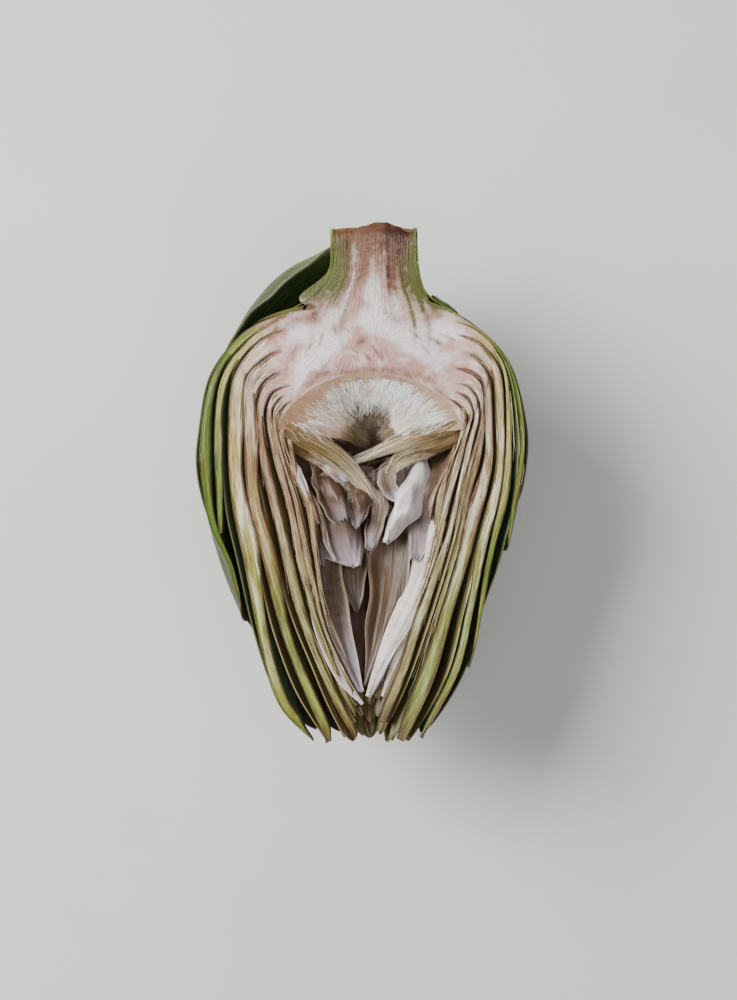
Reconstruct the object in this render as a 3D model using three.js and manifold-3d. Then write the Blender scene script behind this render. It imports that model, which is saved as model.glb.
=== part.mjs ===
// Half of a globe artichoke, cut lengthwise through its axis and lying on its back with the cut face up.
//
// All sizes are millimetres. The head's axis runs along Y: the stem points to +Y and the bract tips to -Y.
// The cut face is level and looks to +Z. The origin is straight under the head's axis, on the small flat that the
// half rests on.
//
// The head is worked out in its own frame, where the axis is the line x = 0, z = 0. A point of the head is given
// by its distance from the axis, its place along the axis (y) and its azimuth, which is 0 straight down,
// -90 on the left cut edge and +90 on the right cut edge.

import * as THREE from "three";
import { mergeVertices } from "three/addons/utils/BufferGeometryUtils.js";
import Module from "manifold-3d";

const wasm = await Module();
wasm.setup();

// ---- Driving dimensions ----

const AXIS_HEIGHT = 46.2; // the cut face, which holds the head's axis, above the resting surface
const GAP = 0.3; // left between two neighbouring pieces
const BEYOND = 300; // side of the boxes that cut, larger than the head
const RIND = 1.5; // thickness of the green skin on the stem and shoulder
const RIND_STEP = 0.6; // how far the skin stops short of the stem's cut end
const BLADE_EDGE = 0.6; // least thickness of a bract
const SEGMENTS = 24; // round the head, in what is turned
const TIP_CROWDING = 1.4; // above 1, a bract's rows lie closer together towards its round tip

// Flow lines: how a bract runs from its root in the heart, over the shoulder, down the side and in to its tip.
// Each is nine stations of [distance from the axis, y], from the outermost line to the innermost one, and
// `depth` says how far in each line lies, from 0 on the outside of the head to 1 round the cavity.
const LEFT_FLOW = [
  {
    depth: 0,
    line: [[17.5, 40.5], [32.8, 35.4], [44.2, 22.2], [48.3, 4.2], [47.6, -13.5],
      [43.6, -30], [36.4, -44.5], [29.5, -56], [22, -68]],
  },
  {
    depth: 0.29,
    line: [[18.9, 35], [29.4, 31.2], [36.4, 21.6], [38.4, 4], [37.8, -13.5],
      [35.1, -29.7], [31, -47.2], [25.4, -64.8], [14, -77]],
  },
  {
    depth: 0.41,
    line: [[19.4, 28.8], [27.6, 26.4], [33.4, 18.6], [33.3, 2.7], [31.6, -13.5],
      [28, -28.4], [22.7, -47.2], [17, -63.5], [10.5, -78.2]],
  },
  {
    depth: 0.53,
    line: [[19, 23], [26.4, 21], [30.4, 14.6], [29.8, 1.4], [27.6, -13.5],
      [24.3, -28.4], [18.6, -47.2], [11.9, -63.5], [3.4, -77.6]],
  },
  {
    depth: 0.65,
    line: [[19, 19], [25.6, 17], [27.8, 11.4], [26, 0], [22.7, -13.5],
      [19.6, -28.4], [15.4, -45.9], [8.9, -62], [2.6, -72.5]],
  },
  {
    depth: 0.88,
    line: [[18.6, 16], [23.2, 13], [24.9, 8], [22.6, -2.7], [18.2, -13.5],
      [15.2, -28.4], [12, -45], [6.6, -58], [1.4, -67.8]],
  },
  {
    depth: 1.0,
    line: [[18.2, 14.5], [22, 9.6], [22.4, 3.4], [19.6, -6.4], [15, -15.4],
      [11.6, -28.4], [8.6, -43], [5, -54], [1.6, -62.5]],
  },
];
const RIGHT_FLOW = [
  {
    depth: 0,
    line: [[16, 41.5], [27.4, 36.2], [38.4, 25.1], [43.6, 6.8], [42.9, -9.5],
      [39, -24], [33.6, -38], [28, -51.5], [22.4, -64]],
  },
  {
    depth: 0.22,
    line: [[17.8, 36.4], [29.2, 33], [36, 23.8], [38, 6.8], [37, -9.5],
      [33.6, -24.3], [28.6, -42], [23.8, -58], [14.6, -76]],
  },
  {
    depth: 0.35,
    line: [[19.4, 31], [29, 28.4], [34.5, 20.3], [35.1, 6.4], [33.5, -9.5],
      [30.5, -24.3], [24.8, -42], [18.9, -60.8], [9.5, -77.5]],
  },
  {
    depth: 0.47,
    line: [[20, 26], [28.4, 24], [32.7, 16.8], [31.8, 4], [29.4, -9.5],
      [26.4, -24.3], [20.5, -42], [14.4, -60.8], [5, -79]],
  },
  {
    depth: 0.62,
    line: [[19.4, 20.4], [27.2, 18.8], [30.2, 12.8], [28, 3], [25.1, -9.5],
      [21.6, -24.3], [15.7, -41.9], [9.5, -60.4], [3.4, -75]],
  },
  {
    depth: 0.8,
    line: [[19, 17.4], [25, 15.2], [28, 10.8], [24.9, 1.6], [21.6, -9.5],
      [17.8, -24.3], [12.2, -40], [6.2, -56], [1.8, -69.4]],
  },
  {
    depth: 1.0,
    line: [[18.6, 14.8], [22.8, 10.8], [24.2, 5.6], [20.6, -2], [16.8, -11],
      [13, -24.3], [8, -39.2], [4, -52.4], [1.4, -63]],
  },
];

// Bracts stand in columns round the head. Levels count inwards, and a column with `phase` 0.5 stands half a
// level further in than its neighbours, so that each bract covers the seam between two bracts under it.
const COLUMNS = [
  { azimuth: -87, phase: 0.5 },
  { azimuth: -59, phase: 0 },
  { azimuth: -30, phase: 0.5 },
  { azimuth: 1, phase: 0 },
  { azimuth: 31, phase: 0.5 },
  { azimuth: 61, phase: 0 },
  { azimuth: 88, phase: 0.5 },
];
const LEVELS = 9;
const LEVEL_DEPTH = 1 / (LEVELS - 0.5);
const GAP_IN_DEPTH = 0.011; // what separates the green levels from the pale ones, either way
const OUTER_LEVELS = 3; // green levels, which grow from the rind
const HIDDEN_LEVELS = [4, 5, 6, 7]; // left out where no cut and no opening shows them
const OPEN_AZIMUTH = 70; // columns further round than this are seen in the cut face
const LEAN_DEG = 3; // how far a bract may stand off its column, either way
const HALF_SPREAD_DEG = 28; // half of what a bract spans round the head
const TIP_HALF_WIDTH = 4.4; // least half width of a bract before its tip rounds off
const TIP_BEND = 7; // tightest radius that a bract is curved to across
const THICKEST = { outer: 3.6, inner: 1.6 }; // along a bract's midline, from the outside of the head inwards
const LOOSENESS = 0.85; // left free between a bract and the next ones of its own column
const ROOT_SHARE = 0.13; // where on its flow line a bract's root ends, inside the shoulder
const REACH = [0.58, 0.74, 0.95, 0.98, 1]; // how far along its flow line a bract reaches, by level
const SEED = 11;

// The outermost bract on each cut edge stands off the head. Its azimuth lies below the cut face and its tip is a
// narrow trough, so that its outside shows past the cut.
const LOOSE_ENDS = {
  "-87_0": { azimuth: -77, reach: 0.75, troughRadius: 15 },
  "88_0": { azimuth: 79, reach: 0.64, troughRadius: 16 },
  "88_1": { azimuth: 80, reach: 0.86, troughRadius: 17 },
};

// The short bract that is left on the stem, and the stub of another one.
const STEM_BRACT = {
  azimuth: -62,
  line: [[9.6, 57.2], [15.5, 56], [25.5, 51.6], [34, 44], [40.5, 34.5], [44.8, 27]],
  halfWidth: 11.5,
  troughRadius: 11,
  thickness: 1.3,
};
const STEM_STUB = {
  azimuth: 74,
  line: [[12.4, 45], [17.6, 42.4], [22, 39.8], [26, 37.4]],
  halfWidth: 7,
  troughRadius: 16,
  thickness: 1.5,
};

// The thin inner leaves that hang from the rim into the cavity. Each runs as one curve from inside the rim to
// `tip`, pulled towards `bend`. Both are [distance from the axis, y].
const RIM_LEAVES = [
  { azimuth: -66, bend: [15, 3], tip: [1.5, -9.5], halfWidth: 8, troughRadius: 16 },
  { azimuth: 68, bend: [17, 4], tip: [1, -2.5], halfWidth: 8, troughRadius: 16 },
  { azimuth: -20, bend: [17, -8], tip: [7, -27], halfWidth: 9, troughRadius: 10 },
  { azimuth: 34, bend: [19, -6], tip: [6, -24], halfWidth: 8, troughRadius: 10 },
  { azimuth: 52, bend: [20, -16], tip: [9.5, -41], halfWidth: 7, troughRadius: 12 },
];
const RIM_START = [18.4, 14.2];
const RIM_OUTER = [24.6, 3];
const RIM_LEAF_THICKNESS = 0.8;

// The shoulders are the fleshy rings that the bracts' roots are sunk in. The outer one lies under the green
// bracts, from this depth inwards and down to this y.
const OUTER_SHOULDER = { depth: 0.04, endY: 24 };

// Outlines that are turned round the axis: [distance from the axis, y].
const STEM_TOP_Y = 62.3;
const CHOKE_FLOOR = [[22.4, 7.8], [20.8, 9], [17.5, 14], [12, 18.2], [6, 20.6], [0, 21.4]];
const CHOKE_ROOM = [
  [0, 24], [20.6, 24], [20.6, 9.4], [19.4, 6.8], [16.4, 9.6], [11, 13.6], [5.4, 16.4], [0, 17.2],
];
const HEART_SIDE = [
  [10.2, 52], [11.2, 46.4], [14.5, 41.5], [19, 37.3], [22.2, 32], [24, 25], [24.3, 17], [23.6, 10.5],
];
const INNER_SHOULDER = [[20, 34], [27, 29.6], [31.4, 24.6], [31.8, 20], [28, 13.4], [23.6, 5.6], [21, 5.6]];
const RIND_BOTTOM = [20.6, 34.6]; // where the green skin of the stem runs out inside the shoulder
const STEM_RADIUS = 10.2;
const STEM_LEAN_X = 1; // the stem's middle lies this far to the right of the head's axis

const CHOKE_BED = 1.6; // thickness of the bed that the hairs stand on
const HAIR = { rings: 5, radius: 0.55, longest: 9, shortest: 6.5, sides: 3 };

const COLOURS = {
  flesh: 0xd9c3ad,
  green: 0x7f8f4a,
  pale: 0xc9b48f,
  hair: 0xe2d8bf,
};

// ---- Helpers ----

const radians = THREE.MathUtils.degToRad;
const smoothstep = THREE.MathUtils.smoothstep;
const lerp = THREE.MathUtils.lerp;

// A repeatable stream of numbers from 0 to 1.
function seededRandom(seed) {
  let state = seed;
  return () => {
    state = (state * 1664525 + 1013904223) % 4294967296;
    return state / 4294967296;
  };
}

// A closed geometry as a manifold-3d solid.
function solidOf(geometry) {
  const bare = geometry.clone();
  bare.deleteAttribute("normal");
  bare.deleteAttribute("uv");
  const merged = mergeVertices(bare, 1e-4);
  return new wasm.Manifold(
    new wasm.Mesh({
      numProp: 3,
      vertProperties: new Float32Array(merged.attributes.position.array),
      triVerts: new Uint32Array(merged.index.array),
    }),
  );
}

function joined(solids) {
  return solids.reduce((whole, piece) => whole.add(piece));
}

function geometryOf(solid) {
  const mesh = solid.getMesh();
  const geometry = new THREE.BufferGeometry();
  geometry.setAttribute("position", new THREE.BufferAttribute(mesh.vertProperties, mesh.numProp));
  geometry.setIndex(new THREE.BufferAttribute(mesh.triVerts, 1));
  geometry.computeVertexNormals();
  return geometry;
}

// An outline turned round the axis. It starts and ends on the axis, or closes on itself.
function turned(outline, segments) {
  const points = outline.map(([radius, y]) => new THREE.Vector2(radius, y));
  const solid = solidOf(new THREE.LatheGeometry(points, segments));
  return solid.volume() < 0 ? turned([...outline].reverse(), segments) : solid;
}

function closedLoop(outline) {
  return [...outline, outline[0]];
}

// The outline moved outwards along its own normal, for a skin that follows it.
function offsetLine(outline, distance) {
  return outline.map(([radius, y], i) => {
    const [r0, y0] = outline[Math.max(i - 1, 0)];
    const [r1, y1] = outline[Math.min(i + 1, outline.length - 1)];
    const length = Math.hypot(r1 - r0, y1 - y0);
    return [radius - (distance * (y1 - y0)) / length, y + (distance * (r1 - r0)) / length];
  });
}

function catmullRom(points, share) {
  const last = points.length - 1;
  const place = THREE.MathUtils.clamp(share, 0, 1) * last;
  const i = Math.min(Math.floor(place), last - 1);
  const t = place - i;
  const at = (k) => points[THREE.MathUtils.clamp(k, 0, last)];
  const mix = (k) => {
    const [a, b, c, d] = [at(i - 1)[k], at(i)[k], at(i + 1)[k], at(i + 2)[k]];
    return 0.5 * (2 * b + (c - a) * t + (2 * a - 5 * b + 4 * c - d) * t * t + (3 * b - a - 3 * c + d) * t ** 3);
  };
  return [mix(0), mix(1)];
}

// The point at `share` of the way along the flow line that lies `depth` deep on one side of the head.
function flowOnSide(flow, depth, share) {
  let i = 0;
  while (i < flow.length - 2 && depth > flow[i + 1].depth) i += 1;
  const t = (depth - flow[i].depth) / (flow[i + 1].depth - flow[i].depth);
  const [r0, y0] = catmullRom(flow[i].line, share);
  const [r1, y1] = catmullRom(flow[i + 1].line, share);
  return [lerp(r0, r1, t), lerp(y0, y1, t)];
}

// The same at any azimuth: the two sides of the head run into each other underneath.
function flowPoint(azimuth, depth, share) {
  const rightness = (1 + Math.sin(radians(azimuth))) / 2;
  const [rl, yl] = flowOnSide(LEFT_FLOW, depth, share);
  const [rr, yr] = flowOnSide(RIGHT_FLOW, depth, share);
  return [lerp(rl, rr, rightness), lerp(yl, yr, rightness)];
}

// ---- Bracts ----

// A bract's half width at `q`, its share of the way to the tip, against its full one: broad, with a round tip.
function outline(q) {
  const past = Math.max(0, (q - 0.45) / 0.55);
  return Math.max(0.12, (1 - past ** 2.8) ** 0.65);
}

// How thick a bract can be, so that the next ones of its column just clear it.
function packedThickness(azimuth, depth, share) {
  const [r0, y0] = flowPoint(azimuth, depth - LEVEL_DEPTH / 2, share);
  const [r1, y1] = flowPoint(azimuth, depth + LEVEL_DEPTH / 2, share);
  const [ra, ya] = flowPoint(azimuth, depth, Math.max(share - 0.02, 0));
  const [rb, yb] = flowPoint(azimuth, depth, Math.min(share + 0.02, 1));
  const room = Math.abs((r0 - r1) * (yb - ya) - (y0 - y1) * (rb - ra)) / Math.hypot(rb - ra, yb - ya);
  return Math.min(lerp(THICKEST.outer, THICKEST.inner, depth), Math.max(room - LOOSENESS, BLADE_EDGE));
}

// A blade: `at(q, v)` is the point of its middle surface at `q` of the way to its tip and at `v` across it, from
// -1 to 1. `thickness(q)` holds along the midline, and the blade thins to its edges and its tip.
function blade({ at, thickness, rows, columns }) {
  const step = 0.02;
  const positions = [];
  for (const face of [1, -1])
    for (let i = 0; i <= rows; i += 1)
      for (let j = 0; j <= columns; j += 1) {
        const q = 1 - (1 - i / rows) ** TIP_CROWDING;
        const v = (2 * j) / columns - 1;
        const along = at(Math.min(q + step, 1), v).sub(at(Math.max(q - step, 0), v));
        const across = at(q, v + step).sub(at(q, v - step));
        const thinned = thickness(q) * (1 - Math.abs(v)) * (1 - 0.4 * smoothstep(q, 0.35, 1));
        const half = (face * Math.max(BLADE_EDGE, thinned)) / 2;
        const point = at(q, v).addScaledVector(across.cross(along).normalize(), half);
        positions.push(point.x, point.y, point.z);
      }
  return closedGrid(positions, rows, columns);
}

// The point at `angle` across a blade whose midline passes through [radius, y] in the plane of its azimuth and
// which is curved to the radius `bend`.
function troughPoint(azimuth, [radius, y], bend, angle) {
  const facing = radians(azimuth);
  const outwards = radius - bend * (1 - Math.cos(angle));
  const sideways = bend * Math.sin(angle);
  const x = outwards * Math.sin(facing) + sideways * Math.cos(facing);
  return new THREE.Vector3(x, y, sideways * Math.sin(facing) - outwards * Math.cos(facing));
}

// A solid from two faces of (rows + 1) by (columns + 1) points, the outer one first, joined round their edges.
function closedGrid(positions, rows, columns) {
  const wide = columns + 1;
  const under = (rows + 1) * wide;
  const index = [];
  const quad = (a, b, c, d) => index.push(a, b, c, a, c, d);
  for (let i = 0; i < rows; i += 1)
    for (let j = 0; j < columns; j += 1) {
      const a = i * wide + j;
      quad(a, a + 1, a + wide + 1, a + wide);
      index.push(under + a, under + a + wide + 1, under + a + 1);
      index.push(under + a, under + a + wide, under + a + wide + 1);
    }
  for (let j = 0; j < columns; j += 1) {
    const end = rows * wide + j;
    quad(j, under + j, under + j + 1, j + 1);
    quad(end, end + 1, under + end + 1, under + end);
  }
  for (let i = 0; i < rows; i += 1) {
    const a = i * wide;
    const b = a + columns;
    quad(a, a + wide, under + a + wide, under + a);
    quad(b, under + b, under + b + wide, b + wide);
  }
  const geometry = new THREE.BufferGeometry();
  geometry.setAttribute("position", new THREE.Float32BufferAttribute(positions, 3));
  geometry.setIndex(index);
  const solid = solidOf(geometry);
  return solid.volume() < 0 ? solidOf(geometry.setIndex([...index].reverse())) : solid;
}

// One bract of the head. It follows the flow lines on either side of its own, so that it nests in its neighbours.
function headBract({ azimuth, depth, reach, troughRadius }) {
  const share = (q) => lerp(ROOT_SHARE, reach, q);
  const at = (q, v) => {
    const [middle] = flowPoint(azimuth, depth, share(q));
    const round = Math.max(middle, TIP_BEND);
    const bend = troughRadius ? lerp(round, Math.min(round, troughRadius), smoothstep(q, 0.45, 0.85)) : round;
    const half = Math.max(radians(HALF_SPREAD_DEG) * middle, TIP_HALF_WIDTH) * outline(q);
    const angle = (v * half) / bend;
    const [radius, y] = flowPoint(azimuth + THREE.MathUtils.radToDeg(angle), depth, share(q));
    return troughPoint(azimuth, [radius, y], bend + radius - middle, angle);
  };
  return blade({ at, thickness: (q) => packedThickness(azimuth, depth, share(q)), rows: 6, columns: 4 });
}

// Every bract of the head: which column and level it is on, and how deep it lies.
function headPlan() {
  const random = seededRandom(SEED);
  const plan = [];
  for (const column of COLUMNS)
    for (let level = 0; level < LEVELS; level += 1) {
      const lean = LEAN_DEG * (2 * random() - 1);
      const hidden = HIDDEN_LEVELS.includes(level) && Math.abs(column.azimuth) < OPEN_AZIMUTH;
      if (hidden) continue;
      plan.push({
        azimuth: column.azimuth + lean,
        depth: (level + column.phase) * LEVEL_DEPTH,
        reach: REACH[Math.min(level, REACH.length - 1)],
        outer: level < OUTER_LEVELS,
        ...LOOSE_ENDS[`${column.azimuth}_${level}`],
      });
    }
  return plan;
}

function bezier(points, t) {
  const [a, b, c, d] = points;
  const s = 1 - t;
  const at = (k) => a[k] * s ** 3 + 3 * b[k] * t * s * s + 3 * c[k] * t * t * s + d[k] * t ** 3;
  return [at(0), at(1)];
}

function rimLeaf({ azimuth, bend, tip, halfWidth, troughRadius }) {
  const at = (q, v) => {
    const angle = (v * halfWidth * outline(q)) / troughRadius;
    return troughPoint(azimuth, bezier([RIM_START, RIM_OUTER, bend, tip], q), troughRadius, angle);
  };
  return blade({ at, thickness: () => RIM_LEAF_THICKNESS, rows: 5, columns: 2 });
}

function stemBract({ azimuth, line, halfWidth, troughRadius, thickness }) {
  const at = (q, v) => {
    const half = halfWidth * outline(q) * lerp(0.45, 1, smoothstep(q, 0, 0.4));
    return troughPoint(azimuth, catmullRom(line, q), troughRadius, (v * half) / troughRadius);
  };
  return blade({ at, thickness: () => thickness, rows: 7, columns: 4 });
}

// ---- Solids that the head is built and cut with ----

// All that lies inside the flow lines of one depth, closed towards the axis.
function insideOf(depth) {
  const steps = 12;
  const around = 24;
  const positions = [0, flowPoint(0, depth, 0)[1], 0];
  for (let i = 0; i <= steps; i += 1)
    for (let j = 0; j < around; j += 1) {
      const azimuth = (360 * j) / around;
      const [radius, y] = flowPoint(azimuth, depth, i / steps);
      positions.push(radius * Math.sin(radians(azimuth)), y, -radius * Math.cos(radians(azimuth)));
    }
  const lastPoint = positions.length / 3;
  positions.push(0, flowPoint(0, depth, 1)[1], 0);
  const index = [];
  for (let j = 0; j < around; j += 1) {
    const next = (j + 1) % around;
    index.push(0, 1 + j, 1 + next);
    index.push(lastPoint, lastPoint - around + next, lastPoint - around + j);
    for (let i = 0; i < steps; i += 1) {
      const [a, b] = [1 + i * around + j, 1 + i * around + next];
      index.push(a, a + around, b + around, a, b + around, b);
    }
  }
  const geometry = new THREE.BufferGeometry();
  geometry.setAttribute("position", new THREE.Float32BufferAttribute(positions, 3));
  geometry.setIndex(index);
  const solid = solidOf(geometry);
  return solid.volume() < 0 ? solidOf(geometry.setIndex([...index].reverse())) : solid;
}

function bigBox(x, y, z) {
  return solidOf(new THREE.BoxGeometry(BEYOND, BEYOND, BEYOND).translate(x, y, z));
}

const aboveCut = bigBox(0, 0, BEYOND / 2);
const belowRest = bigBox(0, 0, -AXIS_HEIGHT - BEYOND / 2);

// Cut level with the head's axis and flat underneath, with every hollow that fusing has sealed filled.
function trimmed(solid) {
  const bodies = solid.subtract(aboveCut).subtract(belowRest).decompose();
  return bodies.reduce((largest, body) => (body.volume() > largest.volume() ? body : largest));
}

// ---- Heart and stem ----

const heartOutline = [[0, STEM_TOP_Y], [STEM_RADIUS, STEM_TOP_Y], ...HEART_SIDE, ...CHOKE_FLOOR];
const heartRoom = [
  [0, STEM_TOP_Y + 5],
  [STEM_RADIUS + GAP, STEM_TOP_Y + 5],
  ...offsetLine(HEART_SIDE, GAP),
  [CHOKE_FLOOR[0][0] + 0.1, CHOKE_FLOOR[0][1] - GAP],
  ...CHOKE_FLOOR.slice(1).map(([radius, y]) => [radius, y - GAP]),
];

// The stem stands a little to one side of the head's axis.
function leaned(solid) {
  return solid.warp((point) => {
    point[0] += STEM_LEAN_X * smoothstep(point[1], 38, 52);
  });
}

const heart = trimmed(leaned(turned(heartOutline, SEGMENTS)));
const roomForHeart = leaned(turned(heartRoom, SEGMENTS));

// ---- Outer bracts on the green rind ----

const heartSideUnderRind = HEART_SIDE.filter(([, y]) => y > RIND_BOTTOM[1]);
const rindSide = [[STEM_RADIUS, STEM_TOP_Y - RIND_STEP], ...heartSideUnderRind, RIND_BOTTOM];
const rindOutline = closedLoop([...offsetLine(rindSide, GAP / 2), ...offsetLine(rindSide, GAP + RIND).reverse()]);
const rind = leaned(turned(rindOutline, SEGMENTS));
const plan = headPlan();
const outsideDepth = (OUTER_LEVELS - 0.25) * LEVEL_DEPTH; // halfway between the green levels and the pale ones
const outerShoulder = insideOf(OUTER_SHOULDER.depth).subtract(bigBox(0, OUTER_SHOULDER.endY - BEYOND / 2, 0));
const outerBracts = trimmed(
  joined([rind, outerShoulder, ...plan.filter((bract) => bract.outer).map(headBract)])
    .subtract(insideOf(outsideDepth - GAP_IN_DEPTH))
    .add(leaned(stemBract(STEM_BRACT)))
    .add(stemBract(STEM_STUB))
    .subtract(roomForHeart),
);

// ---- Inner bracts on their shoulder ----

const chokeRoom = turned(CHOKE_ROOM, SEGMENTS);
const pale = plan.filter((bract) => !bract.outer);
const innerBracts = trimmed(
  joined([turned(closedLoop(INNER_SHOULDER), SEGMENTS), ...pale.map(headBract), ...RIM_LEAVES.map(rimLeaf)])
    .intersect(insideOf(outsideDepth + GAP_IN_DEPTH))
    .subtract(roomForHeart)
    .subtract(chokeRoom),
);

// ---- Choke ----

const bedTop = CHOKE_FLOOR.slice(2).map(([radius, y]) => [radius, y - 2 * GAP]).reverse();
const bedUnder = bedTop.map(([radius, y]) => [radius * 0.94, y - CHOKE_BED]).reverse();
const hairs = [];
const hairRandom = seededRandom(SEED);
for (let ring = 0; ring < HAIR.rings; ring += 1) {
  const share = (ring + 0.6) / HAIR.rings;
  const [radius, y] = catmullRom(bedTop, share * 0.9);
  const count = Math.max(3, Math.round(share * 17));
  for (let i = 0; i < count; i += 1) {
    const azimuth = -80 + (160 * (i + 0.5)) / count + 4 * (2 * hairRandom() - 1);
    const length = lerp(HAIR.shortest, HAIR.longest, hairRandom()) * lerp(0.85, 1, share);
    const hair = new THREE.ConeGeometry(HAIR.radius, length, HAIR.sides);
    hair.translate(0, length / 2 - 0.8, 0);
    hair.rotateX(Math.PI); // its tip now points to -Y
    hair.rotateZ(radians(-34 * share)); // and leans in towards the axis
    hair.translate(radius - 0.4, y - CHOKE_BED / 2, 0);
    hair.rotateY(radians(90 - azimuth)); // from the +X side round to its azimuth
    hairs.push(solidOf(hair));
  }
}
const choke = trimmed(joined([turned([...bedTop, ...bedUnder], SEGMENTS), ...hairs]));

// ---- The half head ----

function piece(name, solid, color, roughness) {
  const material = new THREE.MeshStandardMaterial({ color, roughness, metalness: 0, flatShading: true });
  const mesh = new THREE.Mesh(geometryOf(solid), material);
  mesh.name = name;
  return mesh;
}

const artichoke = new THREE.Group();
artichoke.name = "artichoke_half";
artichoke.position.z = AXIS_HEIGHT;
artichoke.add(
  piece("heart_and_stem", heart, COLOURS.flesh, 0.5),
  piece("outer_bracts", outerBracts, COLOURS.green, 0.6),
  piece("inner_bracts", innerBracts, COLOURS.pale, 0.55),
  piece("choke", choke, COLOURS.hair, 0.8),
);

export default artichoke;
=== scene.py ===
"""Half of a globe artichoke, cut lengthwise and on its back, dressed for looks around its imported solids.

Sizes are millimetres in the head's own frame until a mesh is made. The head's axis is the line x = 0, z = 0,
the stem points to +Y and the cut face is the plane z = 0. A point of the head is given by its distance from
the axis, its place along the axis (y) and its azimuth: 0 straight down, -90 on the left cut edge, +90 on the
right one. On a bract or leaf, q runs from 0 at its root to 1 at its tip, and v from -1 to 1 across it.
"""

import logging
import math
from collections.abc import Callable, Sequence
from dataclasses import dataclass, field
from enum import Enum

import bpy
import bmesh
import numpy as np
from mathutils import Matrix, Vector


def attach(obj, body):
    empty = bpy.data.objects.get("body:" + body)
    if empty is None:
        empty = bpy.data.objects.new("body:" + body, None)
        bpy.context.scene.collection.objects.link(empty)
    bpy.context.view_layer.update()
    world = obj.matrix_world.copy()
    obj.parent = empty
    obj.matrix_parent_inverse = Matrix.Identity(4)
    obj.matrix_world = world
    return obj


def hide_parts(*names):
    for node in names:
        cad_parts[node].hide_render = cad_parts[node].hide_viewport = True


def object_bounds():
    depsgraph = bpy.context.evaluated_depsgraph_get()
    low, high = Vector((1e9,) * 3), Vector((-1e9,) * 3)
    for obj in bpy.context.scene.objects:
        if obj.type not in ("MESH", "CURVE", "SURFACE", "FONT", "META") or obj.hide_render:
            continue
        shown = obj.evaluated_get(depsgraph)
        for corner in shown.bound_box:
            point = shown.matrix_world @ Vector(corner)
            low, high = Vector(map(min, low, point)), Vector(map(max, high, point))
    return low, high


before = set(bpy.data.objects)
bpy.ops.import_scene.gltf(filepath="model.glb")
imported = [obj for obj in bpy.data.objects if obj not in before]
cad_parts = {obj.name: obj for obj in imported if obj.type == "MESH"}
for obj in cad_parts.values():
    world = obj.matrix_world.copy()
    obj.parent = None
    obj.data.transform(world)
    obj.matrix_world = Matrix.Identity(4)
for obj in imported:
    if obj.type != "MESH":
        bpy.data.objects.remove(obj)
CAD_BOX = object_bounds()

LOG = logging.getLogger("artichoke")
BODY = "root"
MM = 0.001
AXIS_HEIGHT = CAD_BOX[1].z / MM  # the cut face above the surface that the half rests on
LEVELS = 9  # bracts from the outside of the head to the cavity, in one column
LEVEL_SPAN = LEVELS - 0.5  # levels between depth 0 and depth 1
LINE_MM = 120.0  # about how long a flow line is
STEM_LEAN_X = 1.0  # how far the stem stands to the right of the axis
LEAF_VALUES = ("share", "side", "along_mm", "across_mm", "through", "depth", "seed", "tone")
GRAIN_VALUES = ("along_mm", "across_mm", "seed")
TINY = 1e-9

Array = np.ndarray
Socket = bpy.types.NodeSocket
Material = bpy.types.Material
Rows = tuple[tuple[float, ...], ...]
Line = Rows
Stops = tuple[tuple[float, str], ...]
CutSigns = dict[tuple[int, int], tuple[float, float]]  # by side and level: a cut bract's seed and tone


# ---- Numbers and colours ----


def linear(hex_colour: str) -> tuple[float, float, float, float]:
    """Turns an sRGB hex colour into linear light.

    Args:
        hex_colour: six hex digits, such as "8faa55".

    Returns:
        Red, green, blue and an alpha of 1.
    """
    channels = [int(hex_colour[i : i + 2], 16) / 255 for i in (0, 2, 4)]
    red, green, blue = [c / 12.92 if c <= 0.04045 else ((c + 0.055) / 1.055) ** 2.4 for c in channels]
    return red, green, blue, 1.0


def ease(value: Array | float, low: float, high: float) -> Array:
    """0 below low, 1 above high and smooth between them; low may be the larger one."""
    t = np.clip((np.asarray(value, float) - low) / (high - low), 0.0, 1.0)
    return t * t * (3.0 - 2.0 * t)


def even(steps: int, start: float = 0.0, end: float = 1.0) -> Array:
    """Evenly spaced values from start to end, with that many steps between them."""
    return np.linspace(start, end, steps + 1)


def lerp(start: Array | float, end: Array | float, share: Array | float) -> Array | float:
    """The value at `share` of the way from start to end."""
    return start + (end - start) * share


def unit(vectors: Array) -> Array:
    """Vectors of length 1 in the same directions."""
    return vectors / np.maximum(np.linalg.norm(vectors, axis=-1, keepdims=True), TINY)


def smooth_line(pick: Callable[[Array], Array], stations: int, share: Array) -> Array:
    """Points of a smooth line through its stations.

    Args:
        pick: gives the stations of an array of station numbers.
        stations: how many there are.
        share: how far along the line, from 0 to 1.

    Returns:
        The points, with their coordinates on the last axis.
    """
    last = stations - 1
    place = np.clip(share, 0, 1) * last
    station = np.minimum(np.floor(place).astype(int), last - 1)
    t = (place - station)[..., None]
    a, b, c, d = (pick(np.clip(station + k, 0, last)) for k in (-1, 0, 1, 2))
    return (2 * b + (c - a) * t + (2 * a - 5 * b + 4 * c - d) * t**2 + (3 * b - a - 3 * c + d) * t**3) / 2


def along_line(stations: Line, share: Array) -> Array:
    """Points at `share` (0 to 1) of a smooth line through the stations."""
    table = np.array(stations, float)
    return smooth_line(lambda station: table[station], len(table), share)


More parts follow.
